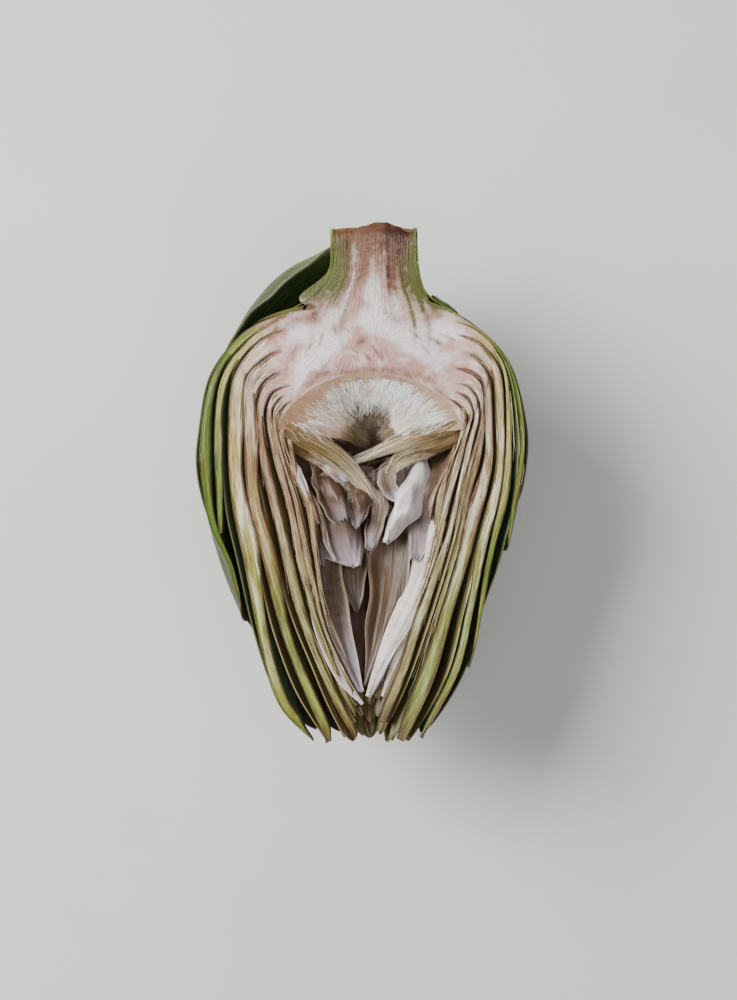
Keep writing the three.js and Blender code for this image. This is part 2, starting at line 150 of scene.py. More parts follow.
class Ripple:
    """A smooth random relief over two directions, from about -1 to 1."""

    GAIN = 1.4  # brings the sum of its waves up to that range

    def __init__(self, rng: np.random.Generator, waves: int, coarse: float) -> None:
        """Draws its waves.

        Args:
            rng: what they are drawn from.
            waves: how many it adds up.
            coarse: the most waves that fit across either direction.
        """
        self.tilt = rng.uniform(-coarse, coarse, (waves, 2))
        self.phase = rng.uniform(0, 2 * math.pi, waves)

    def __call__(self, a: Array, b: Array) -> Array:
        """Its height at a and b."""
        waves = (np.sin(2 * math.pi * (ta * a + tb * b) + p) for (ta, tb), p in zip(self.tilt, self.phase))
        return sum(waves) / len(self.phase) * self.GAIN


# ---- The way that the head grows ----


class Growth:
    """The flow lines that the bracts follow: from the heart over the shoulder, down the side, in to the tips.

    Each line is nine stations of (distance from the axis, y). `depth` says how far in a line lies: 0 on
    the outside of the head, 1 round the cavity.
    """

    LEFT: tuple[tuple[float, Line], ...] = (
        (0, ((17.5, 40.5), (32.8, 35.4), (44.2, 22.2), (48.3, 4.2), (47.6, -13.5), (43.6, -30),
         (36.4, -44.5), (29.5, -56), (22, -68))),
        (0.29, ((18.9, 35), (29.4, 31.2), (36.4, 21.6), (38.4, 4), (37.8, -13.5), (35.1, -29.7),
         (30.2, -49.5), (24.4, -67.6), (15, -76.9))),
        (0.41, ((19.4, 28.8), (27.6, 26.4), (33.4, 18.6), (33.3, 2.7), (31.6, -13.5), (28, -28.4),
         (22.7, -47.2), (17, -63.5), (10.5, -78.2))),
        (0.53, ((19, 23), (26.4, 21), (30.4, 14.6), (29.8, 1.4), (27.6, -13.5), (24.3, -28.4),
         (18.6, -47.2), (11.9, -63.5), (3.4, -77.6))),
        (0.65, ((19, 19), (25.6, 17), (27.8, 11.4), (26, 0), (22.7, -13.5), (19.6, -28.4), (15.4, -45.9),
         (8.9, -62), (2.6, -72.5))),
        (0.88, ((18.6, 16), (23.2, 13), (24.9, 8), (22.6, -2.7), (18.2, -13.5), (15.2, -28.4), (12, -45),
         (6.6, -58), (1.4, -67.8))),
        (1, ((18.2, 14.5), (22, 9.6), (22.4, 3.4), (19.6, -6.4), (15, -15.4), (11.6, -28.4), (8.6, -43),
         (5, -54), (1.6, -62.5))),
    )
    RIGHT: tuple[tuple[float, Line], ...] = (
        (0, ((16, 41.5), (27.4, 36.2), (38.4, 25.1), (43.6, 6.8), (42.9, -9.5), (39, -24), (33.6, -38),
         (28, -51.5), (22.4, -64))),
        (0.22, ((17.8, 36.4), (29.2, 33), (36, 23.8), (38, 6.8), (37, -9.5), (33.6, -24.3), (29.6, -43.5),
         (25.6, -60), (16.5, -76.3))),
        (0.35, ((19.4, 31), (29, 28.4), (34.5, 20.3), (35.1, 6.4), (33.5, -9.5), (30.5, -24.3), (25.2, -42),
         (20.6, -61), (11.5, -77.8))),
        (0.47, ((20, 26), (28.4, 24), (32.7, 16.8), (31.8, 4), (29.4, -9.5), (26.4, -24.3), (20.5, -42),
         (14.4, -60.8), (5, -79))),
        (0.62, ((19.4, 20.4), (27.2, 18.8), (30.2, 12.8), (28, 3), (25.1, -9.5), (21.6, -24.3),
         (15.7, -41.9), (9.5, -60.4), (3.4, -75))),
        (0.8, ((19, 17.4), (25, 15.2), (28, 10.8), (25, 1.6), (22, -9.5), (18.8, -24.3), (13.2, -40),
         (6.8, -56), (1.8, -69.4))),
        (1, ((18.6, 14.8), (22.8, 10.8), (24.2, 5.6), (21, -2), (18.2, -11), (15.4, -24.3), (10.2, -39.2),
         (5.2, -52.4), (1.4, -63))),
    )

    SWAY = 1.0  # how far the lines wander, all together
    STEP = 0.02  # what a line's direction is measured over, as a share of its length

    def __init__(self) -> None:
        """Turns the two tables of lines into arrays."""
        self.sides = [
            (np.array([depth for depth, _ in table]), np.array([line for _, line in table], float))
            for table in (self.LEFT, self.RIGHT)
        ]
        self.sway = Ripple(np.random.default_rng(3), 9, 4.2)

    @staticmethod
    def _on_side(depths: Array, lines: Array, depth: Array, share: Array) -> Array:
        """Where the lines of one side run.

        Args:
            depths: the depth of each line in that side's table.
            lines: their stations.
            depth: the depths that are asked for.
            share: how far along the line each point is.

        Returns:
            Distance from the axis and y, on the last axis.
        """
        line = np.clip(np.searchsorted(depths, depth, side="right") - 1, 0, len(depths) - 2)
        between = ((depth - depths[line]) / (depths[line + 1] - depths[line]))[..., None]
        outer, inner = (
            smooth_line(lambda station, near=near: lines[near, station], lines.shape[1], share)
            for near in (line, line + 1)
        )
        return outer + (inner - outer) * between

    def line(self, azimuth: Array | float, depth: Array | float, share: Array | float) -> tuple[Array, Array]:
        """Where the flow lines run.

        Args:
            azimuth: degrees round the head.
            depth: 0 on the outside of the head to 1 round the cavity.
            share: how far along the line, from 0 at the root.

        Returns:
            Distance from the axis, and y.
        """
        azimuth, depth, share = np.broadcast_arrays(*(np.asarray(v, float) for v in (azimuth, depth, share)))
        left, right = (self._on_side(depths, lines, depth, share) for depths, lines in self.sides)
        rightness = ((1 + np.sin(np.radians(azimuth))) / 2)[..., None]
        point = left + (right - left) * rightness
        loose = ease(share, 0.14, 0.3) * ease(depth, 0.02, 0.25)
        sway = self.SWAY * self.sway(share + 0.6 * rightness[..., 0], depth * 0.9) * loose
        return point[..., 0] + sway, point[..., 1]

    def room(self, azimuth: float, depth: float, share: Array, spacing: float) -> Array:
        """How far apart two lines are, across the way that they run.

        Args:
            azimuth: degrees round the head.
            depth: the depth half way between them.
            share: how far along them.
            spacing: how far apart in depth they lie.

        Returns:
            The distances in mm.
        """
        r0, y0 = self.line(azimuth, depth - spacing / 2, share)
        r1, y1 = self.line(azimuth, depth + spacing / 2, share)
        ra, ya = self.line(azimuth, depth, np.maximum(share - self.STEP, 0))
        rb, yb = self.line(azimuth, depth, np.minimum(share + self.STEP, 1))
        return np.abs((r0 - r1) * (yb - ya) - (y0 - y1) * (rb - ra)) / np.hypot(rb - ra, yb - ya)


GROWTH = Growth()


def placed(azimuth: Array, radius: Array, y: Array) -> Array:
    """Points of the head from azimuth, distance from the axis and y."""
    facing = np.radians(azimuth)
    return np.stack(np.broadcast_arrays(radius * np.sin(facing), y, -radius * np.cos(facing)), axis=-1)


def troughed(azimuth: float, radius: Array, y: Array, bend: Array, angle: Array) -> Array:
    """Points of a blade that is curved across.

    Args:
        azimuth: where its outside faces.
        radius: distance of its midline from the head's axis.
        y: place along the axis.
        bend: radius that it is curved to.
        angle: how far round that curve each point lies, in radians.

    Returns:
        The points.
    """
    outwards = radius - bend * (1 - np.cos(angle))
    sideways = bend * np.sin(angle)
    facing = math.radians(azimuth)
    x = outwards * math.sin(facing) + sideways * math.cos(facing)
    z = sideways * math.sin(facing) - outwards * math.cos(facing)
    return np.stack(np.broadcast_arrays(x, y, z), axis=-1)


# ---- Meshes ----


class Part(Enum):
    """What a piece is part of: its CAD node, and the name of its material slot."""

    HEART = ("heart_and_stem", "heart_flesh")
    GREEN = ("outer_bracts", "green_bract")
    PALE = ("inner_bracts", "pale_bract")
    CHOKE = ("choke", "choke_hair")


class Draft:
    """The points, faces and surface values of one piece while it is being made."""

    SHARP_DEG = 50.0  # edges that turn more than this stay sharp
    SAME_POINT = 1e-6  # metres between points that become one
    NO_LENGTH = 1e-7  # metres below which an edge is taken out

    def __init__(self, name: str, values: Sequence[str]) -> None:
        """Starts an empty piece.

        Args:
            name: the piece's name.
            values: names of the numbers that each point carries for the materials.
        """
        self.name = name
        self.points: list[Array] = []
        self.values: dict[str, list[Array]] = {value: [] for value in values}
        self.faces: list[Array] = []
        self.slots: list[Array] = []
        self.count = 0

    def add_points(self, points: Array, **values: Array | float) -> Array:
        """Adds points.

        Args:
            points: an array of any shape, with the coordinates on its last axis.
            **values: what the points carry; what isn't given is 0.

        Returns:
            The points' numbers, in the same shape.
        """
        shape = points.shape[:-1]
        flat = points.reshape(-1, 3)
        self.points.append(flat)
        for name, kept in self.values.items():
            kept.append(np.broadcast_to(np.asarray(values.get(name, 0.0), float), shape).reshape(-1))
        numbers = np.arange(self.count, self.count + len(flat)).reshape(shape)
        self.count += len(flat)
        return numbers

    def add_faces(self, faces: Array, slot: int = 0) -> None:
        """Adds faces, each a row of point numbers."""
        self.faces.append(faces)
        self.slots.append(np.full(len(faces), slot))

    def add_grid(self, numbers: Array, slot: int = 0) -> None:
        """Adds the quads of a grid of point numbers, or of a stack of such grids."""
        corners = (numbers[..., :-1, :-1], numbers[..., 1:, :-1], numbers[..., 1:, 1:], numbers[..., :-1, 1:])
        self.add_faces(np.stack(corners, axis=-1).reshape(-1, 4), slot)

    def add_shell(
        self, outer: Array, inner: Array, slots: tuple[int, int] = (0, 0), sides: Sequence[int] = (0, -1)
    ) -> None:
        """Adds the two faces of a sheet and closes its ends and its sides.

        Args:
            outer: the point numbers of its outer face, rows from root to tip.
            inner: those of its inner face.
            slots: the material slot of the outer face, and that of all the rest.
            sides: which columns are closed, the first (0) and the last (-1).
        """
        self.add_grid(outer, slots[0])
        self.add_grid(inner[:, ::-1], slots[1])
        for end in (0, -1):
            self.add_grid(np.stack([outer[end], inner[end]]), slots[1])
        for side in sides:
            self.add_grid(np.stack([outer[:, side], inner[:, side]], axis=1), slots[1])

    def add_tube(self, rings: Array) -> None:
        """Adds closed tubes.

        Args:
            rings: point numbers whose last two axes are the rings of a tube and the points of a ring.
        """
        self.add_grid(np.concatenate([rings, rings[..., :1]], axis=-1))
        self.add_faces(rings[..., 0, :].reshape(-1, rings.shape[-1]))
        self.add_faces(rings[..., -1, ::-1].reshape(-1, rings.shape[-1]))

    def finish(self, materials: Sequence[Material], merge: bool = False) -> bpy.types.Object:
        """Makes the Blender object, in metres and in the row's frame.

        Args:
            materials: one for each slot that the faces name.
            merge: whether points that coincide become one.

        Returns:
            The object, at the origin.
        """
        points = (np.concatenate(self.points) + (0, 0, AXIS_HEIGHT)) * MM
        mesh = bpy.data.meshes.new(self.name)
        mesh.from_pydata(points.tolist(), [], [face for block in self.faces for face in block.tolist()])
        mesh.polygons.foreach_set("material_index", np.concatenate(self.slots).astype(np.int32))
        for name, kept in self.values.items():
            layer = mesh.attributes.new(name, "FLOAT", "POINT")
            layer.data.foreach_set("value", np.concatenate(kept).astype(np.float32))
        work = bmesh.new()
        work.from_mesh(mesh)
        if merge:
            bmesh.ops.remove_doubles(work, verts=work.verts, dist=self.SAME_POINT)
        bmesh.ops.dissolve_degenerate(work, dist=self.NO_LENGTH, edges=work.edges)
        bmesh.ops.recalc_face_normals(work, faces=work.faces)
        work.to_mesh(mesh)
        work.free()
        mesh.polygons.foreach_set("use_smooth", np.ones(len(mesh.polygons), bool))
        mesh.set_sharp_from_angle(angle=math.radians(self.SHARP_DEG))
        for material in materials:
            mesh.materials.append(material)
        made = bpy.data.objects.new(self.name, mesh)
        bpy.context.scene.collection.objects.link(made)
        return made


def mount(piece: bpy.types.Object, part: Part) -> None:
    """Lets a piece ride on the half and stand for its CAD node.

    Args:
        piece: the Blender object.
        part: what it is part of.
    """
    node, slot = part.value
    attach(piece, BODY)
    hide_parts(node)
    LOG.info("%s: %d points, %d faces", piece.name, len(piece.data.vertices), len(piece.data.polygons))


# ---- Materials ----


class Node(Enum):
    """What the finishes are made of: Blender's type, what stays set, what is given in turn, and the output.

    A name that starts with a point is a setting of the node, and any other is an input.
    """

    CARRIED = ("ShaderNodeAttribute", {}, (".attribute_name",), "Fac")
    PLACE = ("ShaderNodeTexCoord", {}, (), "Object")
    ADD = ("ShaderNodeMath", {".operation": "ADD"}, (0, 1, ".use_clamp"), 0)
    LESS = ("ShaderNodeMath", {".operation": "SUBTRACT"}, (0, 1), 0)
    TIMES = ("ShaderNodeMath", {".operation": "MULTIPLY"}, (0, 1, ".use_clamp"), 0)
    ABSOLUTE = ("ShaderNodeMath", {".operation": "ABSOLUTE"}, (0,), 0)
    STEP = (
        "ShaderNodeMapRange", {".interpolation_type": "SMOOTHSTEP"}, ("Value", "From Min", "From Max"),
        "Result",
    )
    MIX = ("ShaderNodeMix", {".data_type": "RGBA"}, (0, 6, 7), 2)
    RAMP = ("ShaderNodeValToRGB", {}, ("Fac", ".stops"), "Color")
    POINT = ("ShaderNodeCombineXYZ", {}, ("X", "Y", "Z"), 0)
    NOISE = ("ShaderNodeTexNoise", {"Roughness": 0.55}, ("Vector", "Scale", "Detail", "Roughness"), "Fac")
    BUMP = ("ShaderNodeBump", {"Strength": 1.0}, ("Height", "Distance", "Normal"), "Normal")
    SHADER = ("ShaderNodeBsdfPrincipled", {}, (), "BSDF")
    OUTPUT = ("ShaderNodeOutputMaterial", {}, ("Surface",), None)


def add_node(tree: bpy.types.NodeTree, kind: Node, *given: object, **named: object) -> Socket | None:
    """Adds a node with its settings and links.

    Args:
        tree: the material's nodes.
        kind: which node it is.
        *given: numbers, hex colours or other nodes' outputs, in the order that its kind names.
        **named: more inputs by name, with _ for each space.

    Returns:
        Its output.
    """
    blender_type, fixed, order, output = kind.value
    node = tree.nodes.new(blender_type)
    more = {name.replace("_", " "): value for name, value in named.items()}
    for name, value in {**fixed, **dict(zip(order, given)), **more}.items():
        if name == ".stops":
            for i, (place, colour) in enumerate(value):
                stop = node.color_ramp.elements[i] if i < 2 else node.color_ramp.elements.new(place)
                stop.position, stop.color = place, linear(colour)
        elif isinstance(name, str) and name.startswith("."):
            setattr(node, name[1:], value)
        elif isinstance(value, Socket):
            tree.links.new(value, node.inputs[name])
        else:
            node.inputs[name].default_value = linear(value) if isinstance(value, str) else value
    return None if output is None else node.outputs[output]


class Palette:
    """One material while it is made."""

    SEED_STEP = 37.0  # moves the streaks of each bract far from those of the next one

    def __init__(self, name: str, *carried: str) -> None:
        """Starts a material.

        Args:
            name: the finish's name.
            *carried: the values that it reads from the points.
        """
        self.material = bpy.data.materials.new(name)
        self.material.use_nodes = True
        self.tree = self.material.node_tree
        self.tree.nodes.clear()
        self.place = self.add(Node.PLACE)
        self.value = {value: self.add(Node.CARRIED, value) for value in carried}

    def add(self, kind: Node, *given: object, **named: object) -> Socket | None:
        """Adds a node to this material, as add_node does."""
        return add_node(self.tree, kind, *given, **named)

    def grain(self, length: float, width: float, detail: float = 3.0) -> Socket:
        """Lengthwise streaks.

        Args:
            length: how long a streak is, in mm.
            width: how wide it is, in mm.
            detail: how many finer sizes it holds.

        Returns:
            Their pattern.
        """
        scales = zip(GRAIN_VALUES, (1 / length, 1 / width, self.SEED_STEP))
        place = [self.add(Node.TIMES, self.value[name], scale) for name, scale in scales]
        return self.add(Node.NOISE, self.add(Node.POINT, *place), 1.0, detail, 0.6)

    def cloud(self, size: float, detail: float = 3.0) -> Socket:
        """Patches about `size` mm across, with `detail` finer sizes in them."""
        return self.add(Node.NOISE, self.place, 1 / (size * MM), detail)

    def coat(
        self, base: Socket | str, colour: Socket | str, cover: Socket | float, pattern: Socket, low: float,
        high: float,
    ) -> Socket:
        """Lays a colour over another one.

        Args:
            base: what lies under it.
            colour: the coat's colour.
            cover: how much of it shows at most.
            pattern: what brings it out.
            low: the pattern's value where it starts to show.
            high: the value where it shows in full.

        Returns:
            The new colour.
        """
        shown = self.add(Node.TIMES, self.add(Node.STEP, pattern, low, high), cover)
        return self.add(Node.MIX, shown, base, colour)

    def finish(self, shader: Socket) -> Material:
        """Ends the material with its shader."""
        self.add(Node.OUTPUT, shader)
        return self.material


PLANT = {  # water-filled plant tissue: a soft gloss, and light that spreads inside it, by colour
    "Specular_IOR_Level": 0.3,
    "Subsurface_Radius": (0.5 * MM, 0.3 * MM, 0.2 * MM),
}


@dataclass(frozen=True)
class BractSkin:
    """One face of a bract: leathery skin with fine lengthwise veins."""

    name: str
    along: Stops  # colours from root to tip
    deep: Stops  # tint by depth in the head
    deep_share: float
    edge: str
    blotch: str
    blotch_share: float
    vein: str
    roughness: float
    down: float  # how much grey down covers it, seen as sheen
    vein_spacing: float = 0.7  # mm, drawn about twice as wide as real veins lie, so that they show
    vein_depth: float = 0.10  # mm
    vein_length: float = 14.0  # mm between the places where two veins meet
    blotch_size: float = 9.0  # mm
    pore_size: float = 0.5  # mm, drawn ten times as coarse as the skin's real cells
    pore_depth: float = 0.03  # mm

    def material(self) -> Material:
        """Builds the skin's material.

        Returns:
            The finish.
        """
        p = Palette(self.name, *GRAIN_VALUES, "share", "side", "depth")
        share, depth = p.value["share"], p.value["depth"]
        veins = p.grain(self.vein_length, self.vein_spacing)
        along, deep = p.add(Node.RAMP, share, self.along), p.add(Node.RAMP, depth, self.deep)
        base = p.add(Node.MIX, self.deep_share, along, deep)
        base = p.coat(base, self.vein, 0.55, veins, 0.42, 0.68)
        base = p.coat(base, self.blotch, self.blotch_share, p.cloud(self.blotch_size), 0.50, 0.72)
        base = p.coat(base, self.edge, 0.75, p.add(Node.ABSOLUTE, p.value["side"]), 0.90, 1.0)
        relief = p.add(Node.BUMP, veins, self.vein_depth * MM)
        shader = p.add(
            Node.SHADER,
            Base_Color=base,
            Roughness=self.roughness,
            Normal=p.add(Node.BUMP, p.cloud(self.pore_size), self.pore_depth * MM, relief),
            Subsurface_Weight=0.12,
            Sheen_Weight=self.down,
            Sheen_Roughness=0.6,
            Sheen_Tint=linear("dfe6d6"),
            **PLANT,
        )
        return p.finish(shader)


# Raw plant flesh, sliced by a knife: moist and semi-gloss, milky where it is thick, with skins and bruises
# that have browned in the air. Each bract shows as a band, pale in the middle and dark at both skins, and the
# bands run together towards the heart.
@dataclass(frozen=True)
class CutFace:
    """Everything that the knife went through."""

    VALUES = (
        *GRAIN_VALUES, "share", "through", "depth", "tone", "core", "fibrous",
        "browned", "greened", "darkened", "whitened", "pinkened",
    )

    name: str = "knife_cut_flesh"
    band_middle: Stops = (
        (0.03, "4e661c"), (0.10, "74862a"), (0.17, "b4b05a"), (0.24, "bdb062"), (0.31, "c6ae64"),
        (0.40, "a08050"), (0.52, "a07e54"), (0.70, "a58060"), (1.0, "a5834e"),
    )
    band_skin: Stops = (
        (0.03, "34460f"), (0.15, "2e3c12"), (0.28, "55441a"), (0.38, "50301a"), (0.6, "432416"),
        (1.0, "4f341a"),
    )
    band_tip: Stops = (
        (0.03, "566c1a"), (0.17, "6a7c22"), (0.30, "7e8c2e"), (0.45, "84903a"), (0.60, "8c8e4c"),
        (0.72, "96844e"), (1.0, "a57e68"),
    )
    highlight: Stops = ((0.5, "f8ecd4"), (0.8, "ced69a"))
    gold: str = "a06a2c"
    bruise: str = "45281a"
    point: str = "4a3226"
    pale: str = "d8bfb6"
    white: str = "ede2e3"
    pink: str = "bf9289"
    brown: str = "6a4220"
    green: str = "4b540e"
    dark: str = "3c1b12"
    fibre_width: float = 0.30  # mm, in the bracts
    strand_width: float = 0.45  # mm, in the heart and stem
    scrape_depth: float = 0.4  # mm, along the fibres
    grit_size: float = 1.1  # mm, drawn a few times as coarse as the cells that the knife opened
    grit_depth: float = 0.12  # mm

    def bands(self, p: Palette) -> Socket:
        """Paints the bracts' cut edges.

        Args:
            p: the material while it is made.

        Returns:
            Their colour.
        """
        share, depth, tone = (p.value[name] for name in ("share", "depth", "tone"))
        fine, coarse = p.grain(6.0, self.fibre_width, 4.0), p.grain(14.0, 1.6)
        skin = p.add(Node.RAMP, depth, self.band_skin)
        tip = p.add(Node.RAMP, depth, self.band_tip)
        base = p.coat(p.add(Node.RAMP, depth, self.band_middle), tip, 1.0, share, 0.4, 0.75)
        paler = p.add(Node.TIMES, p.add(Node.STEP, depth, 0.16, 0.36), 0.6)
        base = p.coat(base, self.pale, paler, share, 0.40, 0.14)
        ends = p.add(Node.TIMES, p.add(Node.STEP, depth, 0.08, 0.2), p.add(Node.STEP, share, 1.05, 0.65))
        highlight = p.add(Node.RAMP, share, self.highlight)
        base = p.coat(base, highlight, p.add(Node.TIMES, tone, ends), coarse, 0.42, 0.60)
        base = p.coat(base, self.gold, 0.5, p.grain(24.0, 0.9), 0.52, 0.66)
        off_middle = p.add(Node.ABSOLUTE, p.add(Node.LESS, p.value["through"], 0.5))
        wander = p.add(Node.TIMES, p.add(Node.LESS, fine, 0.5), 1.5)
        wavy = p.add(Node.ADD, p.add(Node.TIMES, off_middle, 2.0), wander)
        base = p.coat(base, skin, 0.95, wavy, 0.40, 0.92)
        base = p.coat(base, skin, 0.7, fine, 0.50, 0.66)
        base = p.coat(base, self.point, 0.7, share, 0.9, 1.0)
        inwards = p.add(Node.TIMES, p.add(Node.STEP, depth, 0.2, 0.45), p.add(Node.LESS, 1.05, tone))
        bruised = p.add(Node.TIMES, inwards, 0.9)
        return p.coat(base, self.bruise, bruised, p.grain(11.0, 0.9, 4.0), 0.53, 0.66)

    def heart(self, p: Palette) -> Socket:
        """Paints the cut heart and stem.

        Args:
            p: the material while it is made.

        Returns:
            Their colour.
        """
        strands = p.add(Node.LESS, p.grain(8.0, self.strand_width, 5.0), 0.5)
        fibres = p.add(Node.TIMES, strands, p.value["fibrous"])
        base = p.coat(self.pale, self.pink, 1.0, p.cloud(6.0), 0.38, 0.64)
        base = p.coat(base, self.pink, p.value["pinkened"], p.cloud(3.0), 0.3, 0.6)
        white = p.add(Node.ADD, p.value["whitened"], p.add(Node.LESS, p.cloud(3.5, 6.0), 0.5))
        base = p.coat(base, self.white, 0.9, white, 0.2, 0.75)
        base = p.coat(base, self.brown, 0.3, p.cloud(0.8, 6.0), 0.54, 0.68)
        base = p.coat(base, self.brown, 0.35, fibres, 0.02, 0.2)
        mottle = p.add(Node.TIMES, p.add(Node.LESS, p.cloud(1.6, 6.0), 0.5), 2.0)
        uneven = p.add(Node.ADD, 0.95, p.add(Node.ADD, p.add(Node.TIMES, fibres, 1.5), mottle))
        for layer, colour, cover in (
            ("greened", self.green, 0.95), ("browned", self.brown, 0.9), ("darkened", self.dark, 0.95),
        ):
            amount = p.add(Node.TIMES, p.value[layer], uneven, True)
            base = p.add(Node.MIX, p.add(Node.TIMES, amount, cover), base, colour)
        return base

    def material(self) -> Material:
        """Builds the material.

        Returns:
            The finish.
        """
        p = Palette(self.name, *self.VALUES)
        core = p.value["core"]
        base = p.add(Node.MIX, core, self.bands(p), self.heart(p))
        smooth = p.add(Node.TIMES, core, p.add(Node.LESS, 1.0, p.value["fibrous"]))
        scrapes = p.add(Node.TIMES, p.grain(8.0, 0.4, 4.0), p.add(Node.LESS, 1.0, smooth))
        relief = p.add(Node.BUMP, scrapes, self.scrape_depth * MM)
        shader = p.add(
            Node.SHADER,
            Base_Color=base,
            Roughness=0.36,
            Normal=p.add(Node.BUMP, p.cloud(self.grit_size, 4.0), self.grit_depth * MM, relief),
            Subsurface_Weight=0.14,
            **PLANT,
        )
        return p.finish(shader)


@dataclass(frozen=True)
class PlainFlesh:
    """Skin or flesh that is seen little: one colour with a darker cloud and lengthwise fibres."""

    name: str
    light: str
    dark: str
    fibre: str
    roughness: float
    fibre_width: float = 0.8  # mm
    relief: float = 0.25  # mm

    def material(self) -> Material:
        """Builds the material.

        Returns:
            The finish.
        """
        p = Palette(self.name, *GRAIN_VALUES)
        fibres = p.grain(16.0, self.fibre_width)
        base = p.coat(self.light, self.dark, 1.0, p.cloud(6.0), 0.35, 0.7)
        base = p.coat(base, self.fibre, 0.6, fibres, 0.45, 0.75)
        relief = p.add(Node.BUMP, fibres, self.relief * MM)
        shader = p.add(
            Node.SHADER, Base_Color=base, Roughness=self.roughness, Normal=relief, Subsurface_Weight=0.2,
            **PLANT,
        )
        return p.finish(shader)


@dataclass(frozen=True)
class Tissue:
    """Thin leaf tissue or hair, dull to pale by its tone, with other colours at its root and its tip."""

    name: str
    dull: str
    pale: str
    root: str
    tip: str
    roughness: float
    tip_share: float = 0.5
    tip_by_tone: float = 0.0  # how much less of the tip's colour a dull one shows
    root_reach: float = 0.35  # where the root's colour ends
    fibre: str = "9a7d46"
    fibre_share: float = 0.5
    fibre_width: float = 0.4  # mm
    rim: str = "d9ccc4"
    rim_share: float = 0.0
    relief: float = 0.15  # mm
    glow: float = 0.2  # how much light goes through it

    def material(self) -> Material:
        """Builds the material.

        Returns:
            The finish.
        """
        p = Palette(self.name, *GRAIN_VALUES, "share", "side", "tone")
        share, tone = p.value["share"], p.value["tone"]
        fibres = p.grain(12.0, self.fibre_width)
        clouded = p.add(Node.TIMES, p.add(Node.LESS, p.cloud(4.0), 0.5), 0.9)
        base = p.add(Node.MIX, p.add(Node.ADD, tone, clouded, True), self.dull, self.pale)
        base = p.coat(base, self.root, 0.7, share, self.root_reach, 0.0)
        by_tone = p.add(Node.TIMES, p.add(Node.LESS, tone, 0.5), self.tip_by_tone)
        base = p.coat(base, self.tip, p.add(Node.ADD, by_tone, self.tip_share, True), share, 0.6, 0.95)
        base = p.coat(base, self.fibre, self.fibre_share, fibres, 0.45, 0.7)
        base = p.coat(base, self.rim, self.rim_share, p.add(Node.ABSOLUTE, p.value["side"]), 0.8, 1.0)
        relief = p.add(Node.BUMP, fibres, self.relief * MM)
        shader = p.add(
            Node.SHADER, Base_Color=base, Roughness=self.roughness, Normal=relief,
            Subsurface_Weight=self.glow, **PLANT,
        )
        return p.finish(shader)


# The outside of a green bract: waxy skin under thin grey down, dull and rough to the eye, with shallow veins,
# browner at the tip and grey-brown along its dry edge.
GREEN_OUTSIDE = BractSkin(
    name="downy_green_skin", along=((0.0, "66762a"), (0.35, "394420"), (0.75, "3c4428"), (1.0, "43342f")),
    deep=((0.0, "3e482a"), (1.0, "5c6630")), deep_share=0.4, edge="6a6056", blotch="2e3a20",
    blotch_share=0.5, vein="5e6c4c", roughness=0.6, down=0.06, vein_spacing=0.8, vein_depth=0.16,
)
# The inside of a green bract: the same skin, smoother and less blotched; its green is painted darker than its
# own, as painted shade for where it lies in shadow.
GREEN_INSIDE_PAINTED_SHADE = BractSkin(
    name="smooth_green_inner_skin_painted_shade",
    along=((0.0, "7a8440"), (0.3, "374a20"), (0.8, "26371a"), (1.0, "364020")),
    deep=((0.0, "2c3f1a"), (0.3, "38451e"), (1.0, "5c5634")), deep_share=0.5, edge="5c5836",
    blotch="2a3a1e", blotch_share=0.4, vein="5a6a3e", roughness=0.5, down=0.1,
)
# The outside of a pale inner bract: tender skin that has hardly seen light, olive turning to tan further in.
PALE_OUTSIDE = BractSkin(
    name="pale_bract_outside", along=((0.0, "8f7a48"), (0.4, "6c6a34"), (0.8, "585c2a"), (1.0, "4c3a2c")),
    deep=((0.25, "46541f"), (0.5, "605e2e"), (1.0, "7d6a48")), deep_share=0.6, edge="6a5630",
    blotch="4a3f22", blotch_share=0.5, vein="646230", roughness=0.5, down=0.05,
)
# The inside of a pale bract: smooth and slightly glossy, with a mauve bloom that grows towards the cavity.
PALE_INSIDE = BractSkin(
    name="mauve_bract_inside", along=((0.0, "96804a"), (0.3, "826a42"), (0.7, "6a5642"), (1.0, "464222")),
    deep=((0.0, "454c1e"), (0.35, "4e5320"), (0.55, "60582c"), (0.8, "6c5342"), (1.0, "6f564e")),
    deep_share=0.62, edge="a08660", blotch="503a2c", blotch_share=0.45, vein="584636", roughness=0.42,
    down=0.03,
)
# The bed of the choke: matted hair roots, quite matt, pale at the rim; painted shade makes it brown down in
# the hollow and dull on its left side.
CHOKE_FELT = Tissue(
    name="choke_felt", dull="8c6850", pale="eadfce", root="926a48", tip="6c5634", roughness=0.8,
    tip_share=0.97, fibre="b8a184", relief=0.3,
)
# The hairs on it: dry and silky, so white that each one shows against the bed, and tan where shade is painted
# on them: on the shaded left side and down in the hollow.
CHOKE_HAIR = Tissue(
    name="choke_hair", dull="7c6438", pale="ffffff", root="ece4d8", tip="fbfbfd", roughness=0.4,
    tip_share=0.15, fibre_share=0.0, glow=0.0,
)
# The torn sheets under the choke: strands of straw-coloured fibre side by side, with dark lines between them.
FIBRE_CURTAIN = Tissue(
    name="fibre_curtain", dull="5c4422", pale="b29a68", root="5c4624", tip="d6c6a8", roughness=0.4,
    tip_share=0.8, fibre="4e3416", fibre_share=0.75, fibre_width=0.25, relief=0.4,
)
# Single dry fibres: straw, paler and shinier where they fray.
LOOSE_FIBRE = Tissue(
    name="loose_fibre", dull="86642c", pale="eedfb4", root="86642c", tip="f4eee2", roughness=0.35,
    fibre_share=0.0,
)
# The innermost leaves: paper-thin, moist and softly glossy, brown in their folds and lilac towards the tips.
MAUVE_LEAF = Tissue(
    name="mauve_leaf", dull="503c2a", pale="a08c80", root="4a3a22", tip="cbbecb", roughness=0.34,
    tip_share=0.7, tip_by_tone=0.9, fibre="4a3426", fibre_share=0.22, fibre_width=0.5, rim="c0ac98",
    rim_share=0.5, relief=0.2,
)
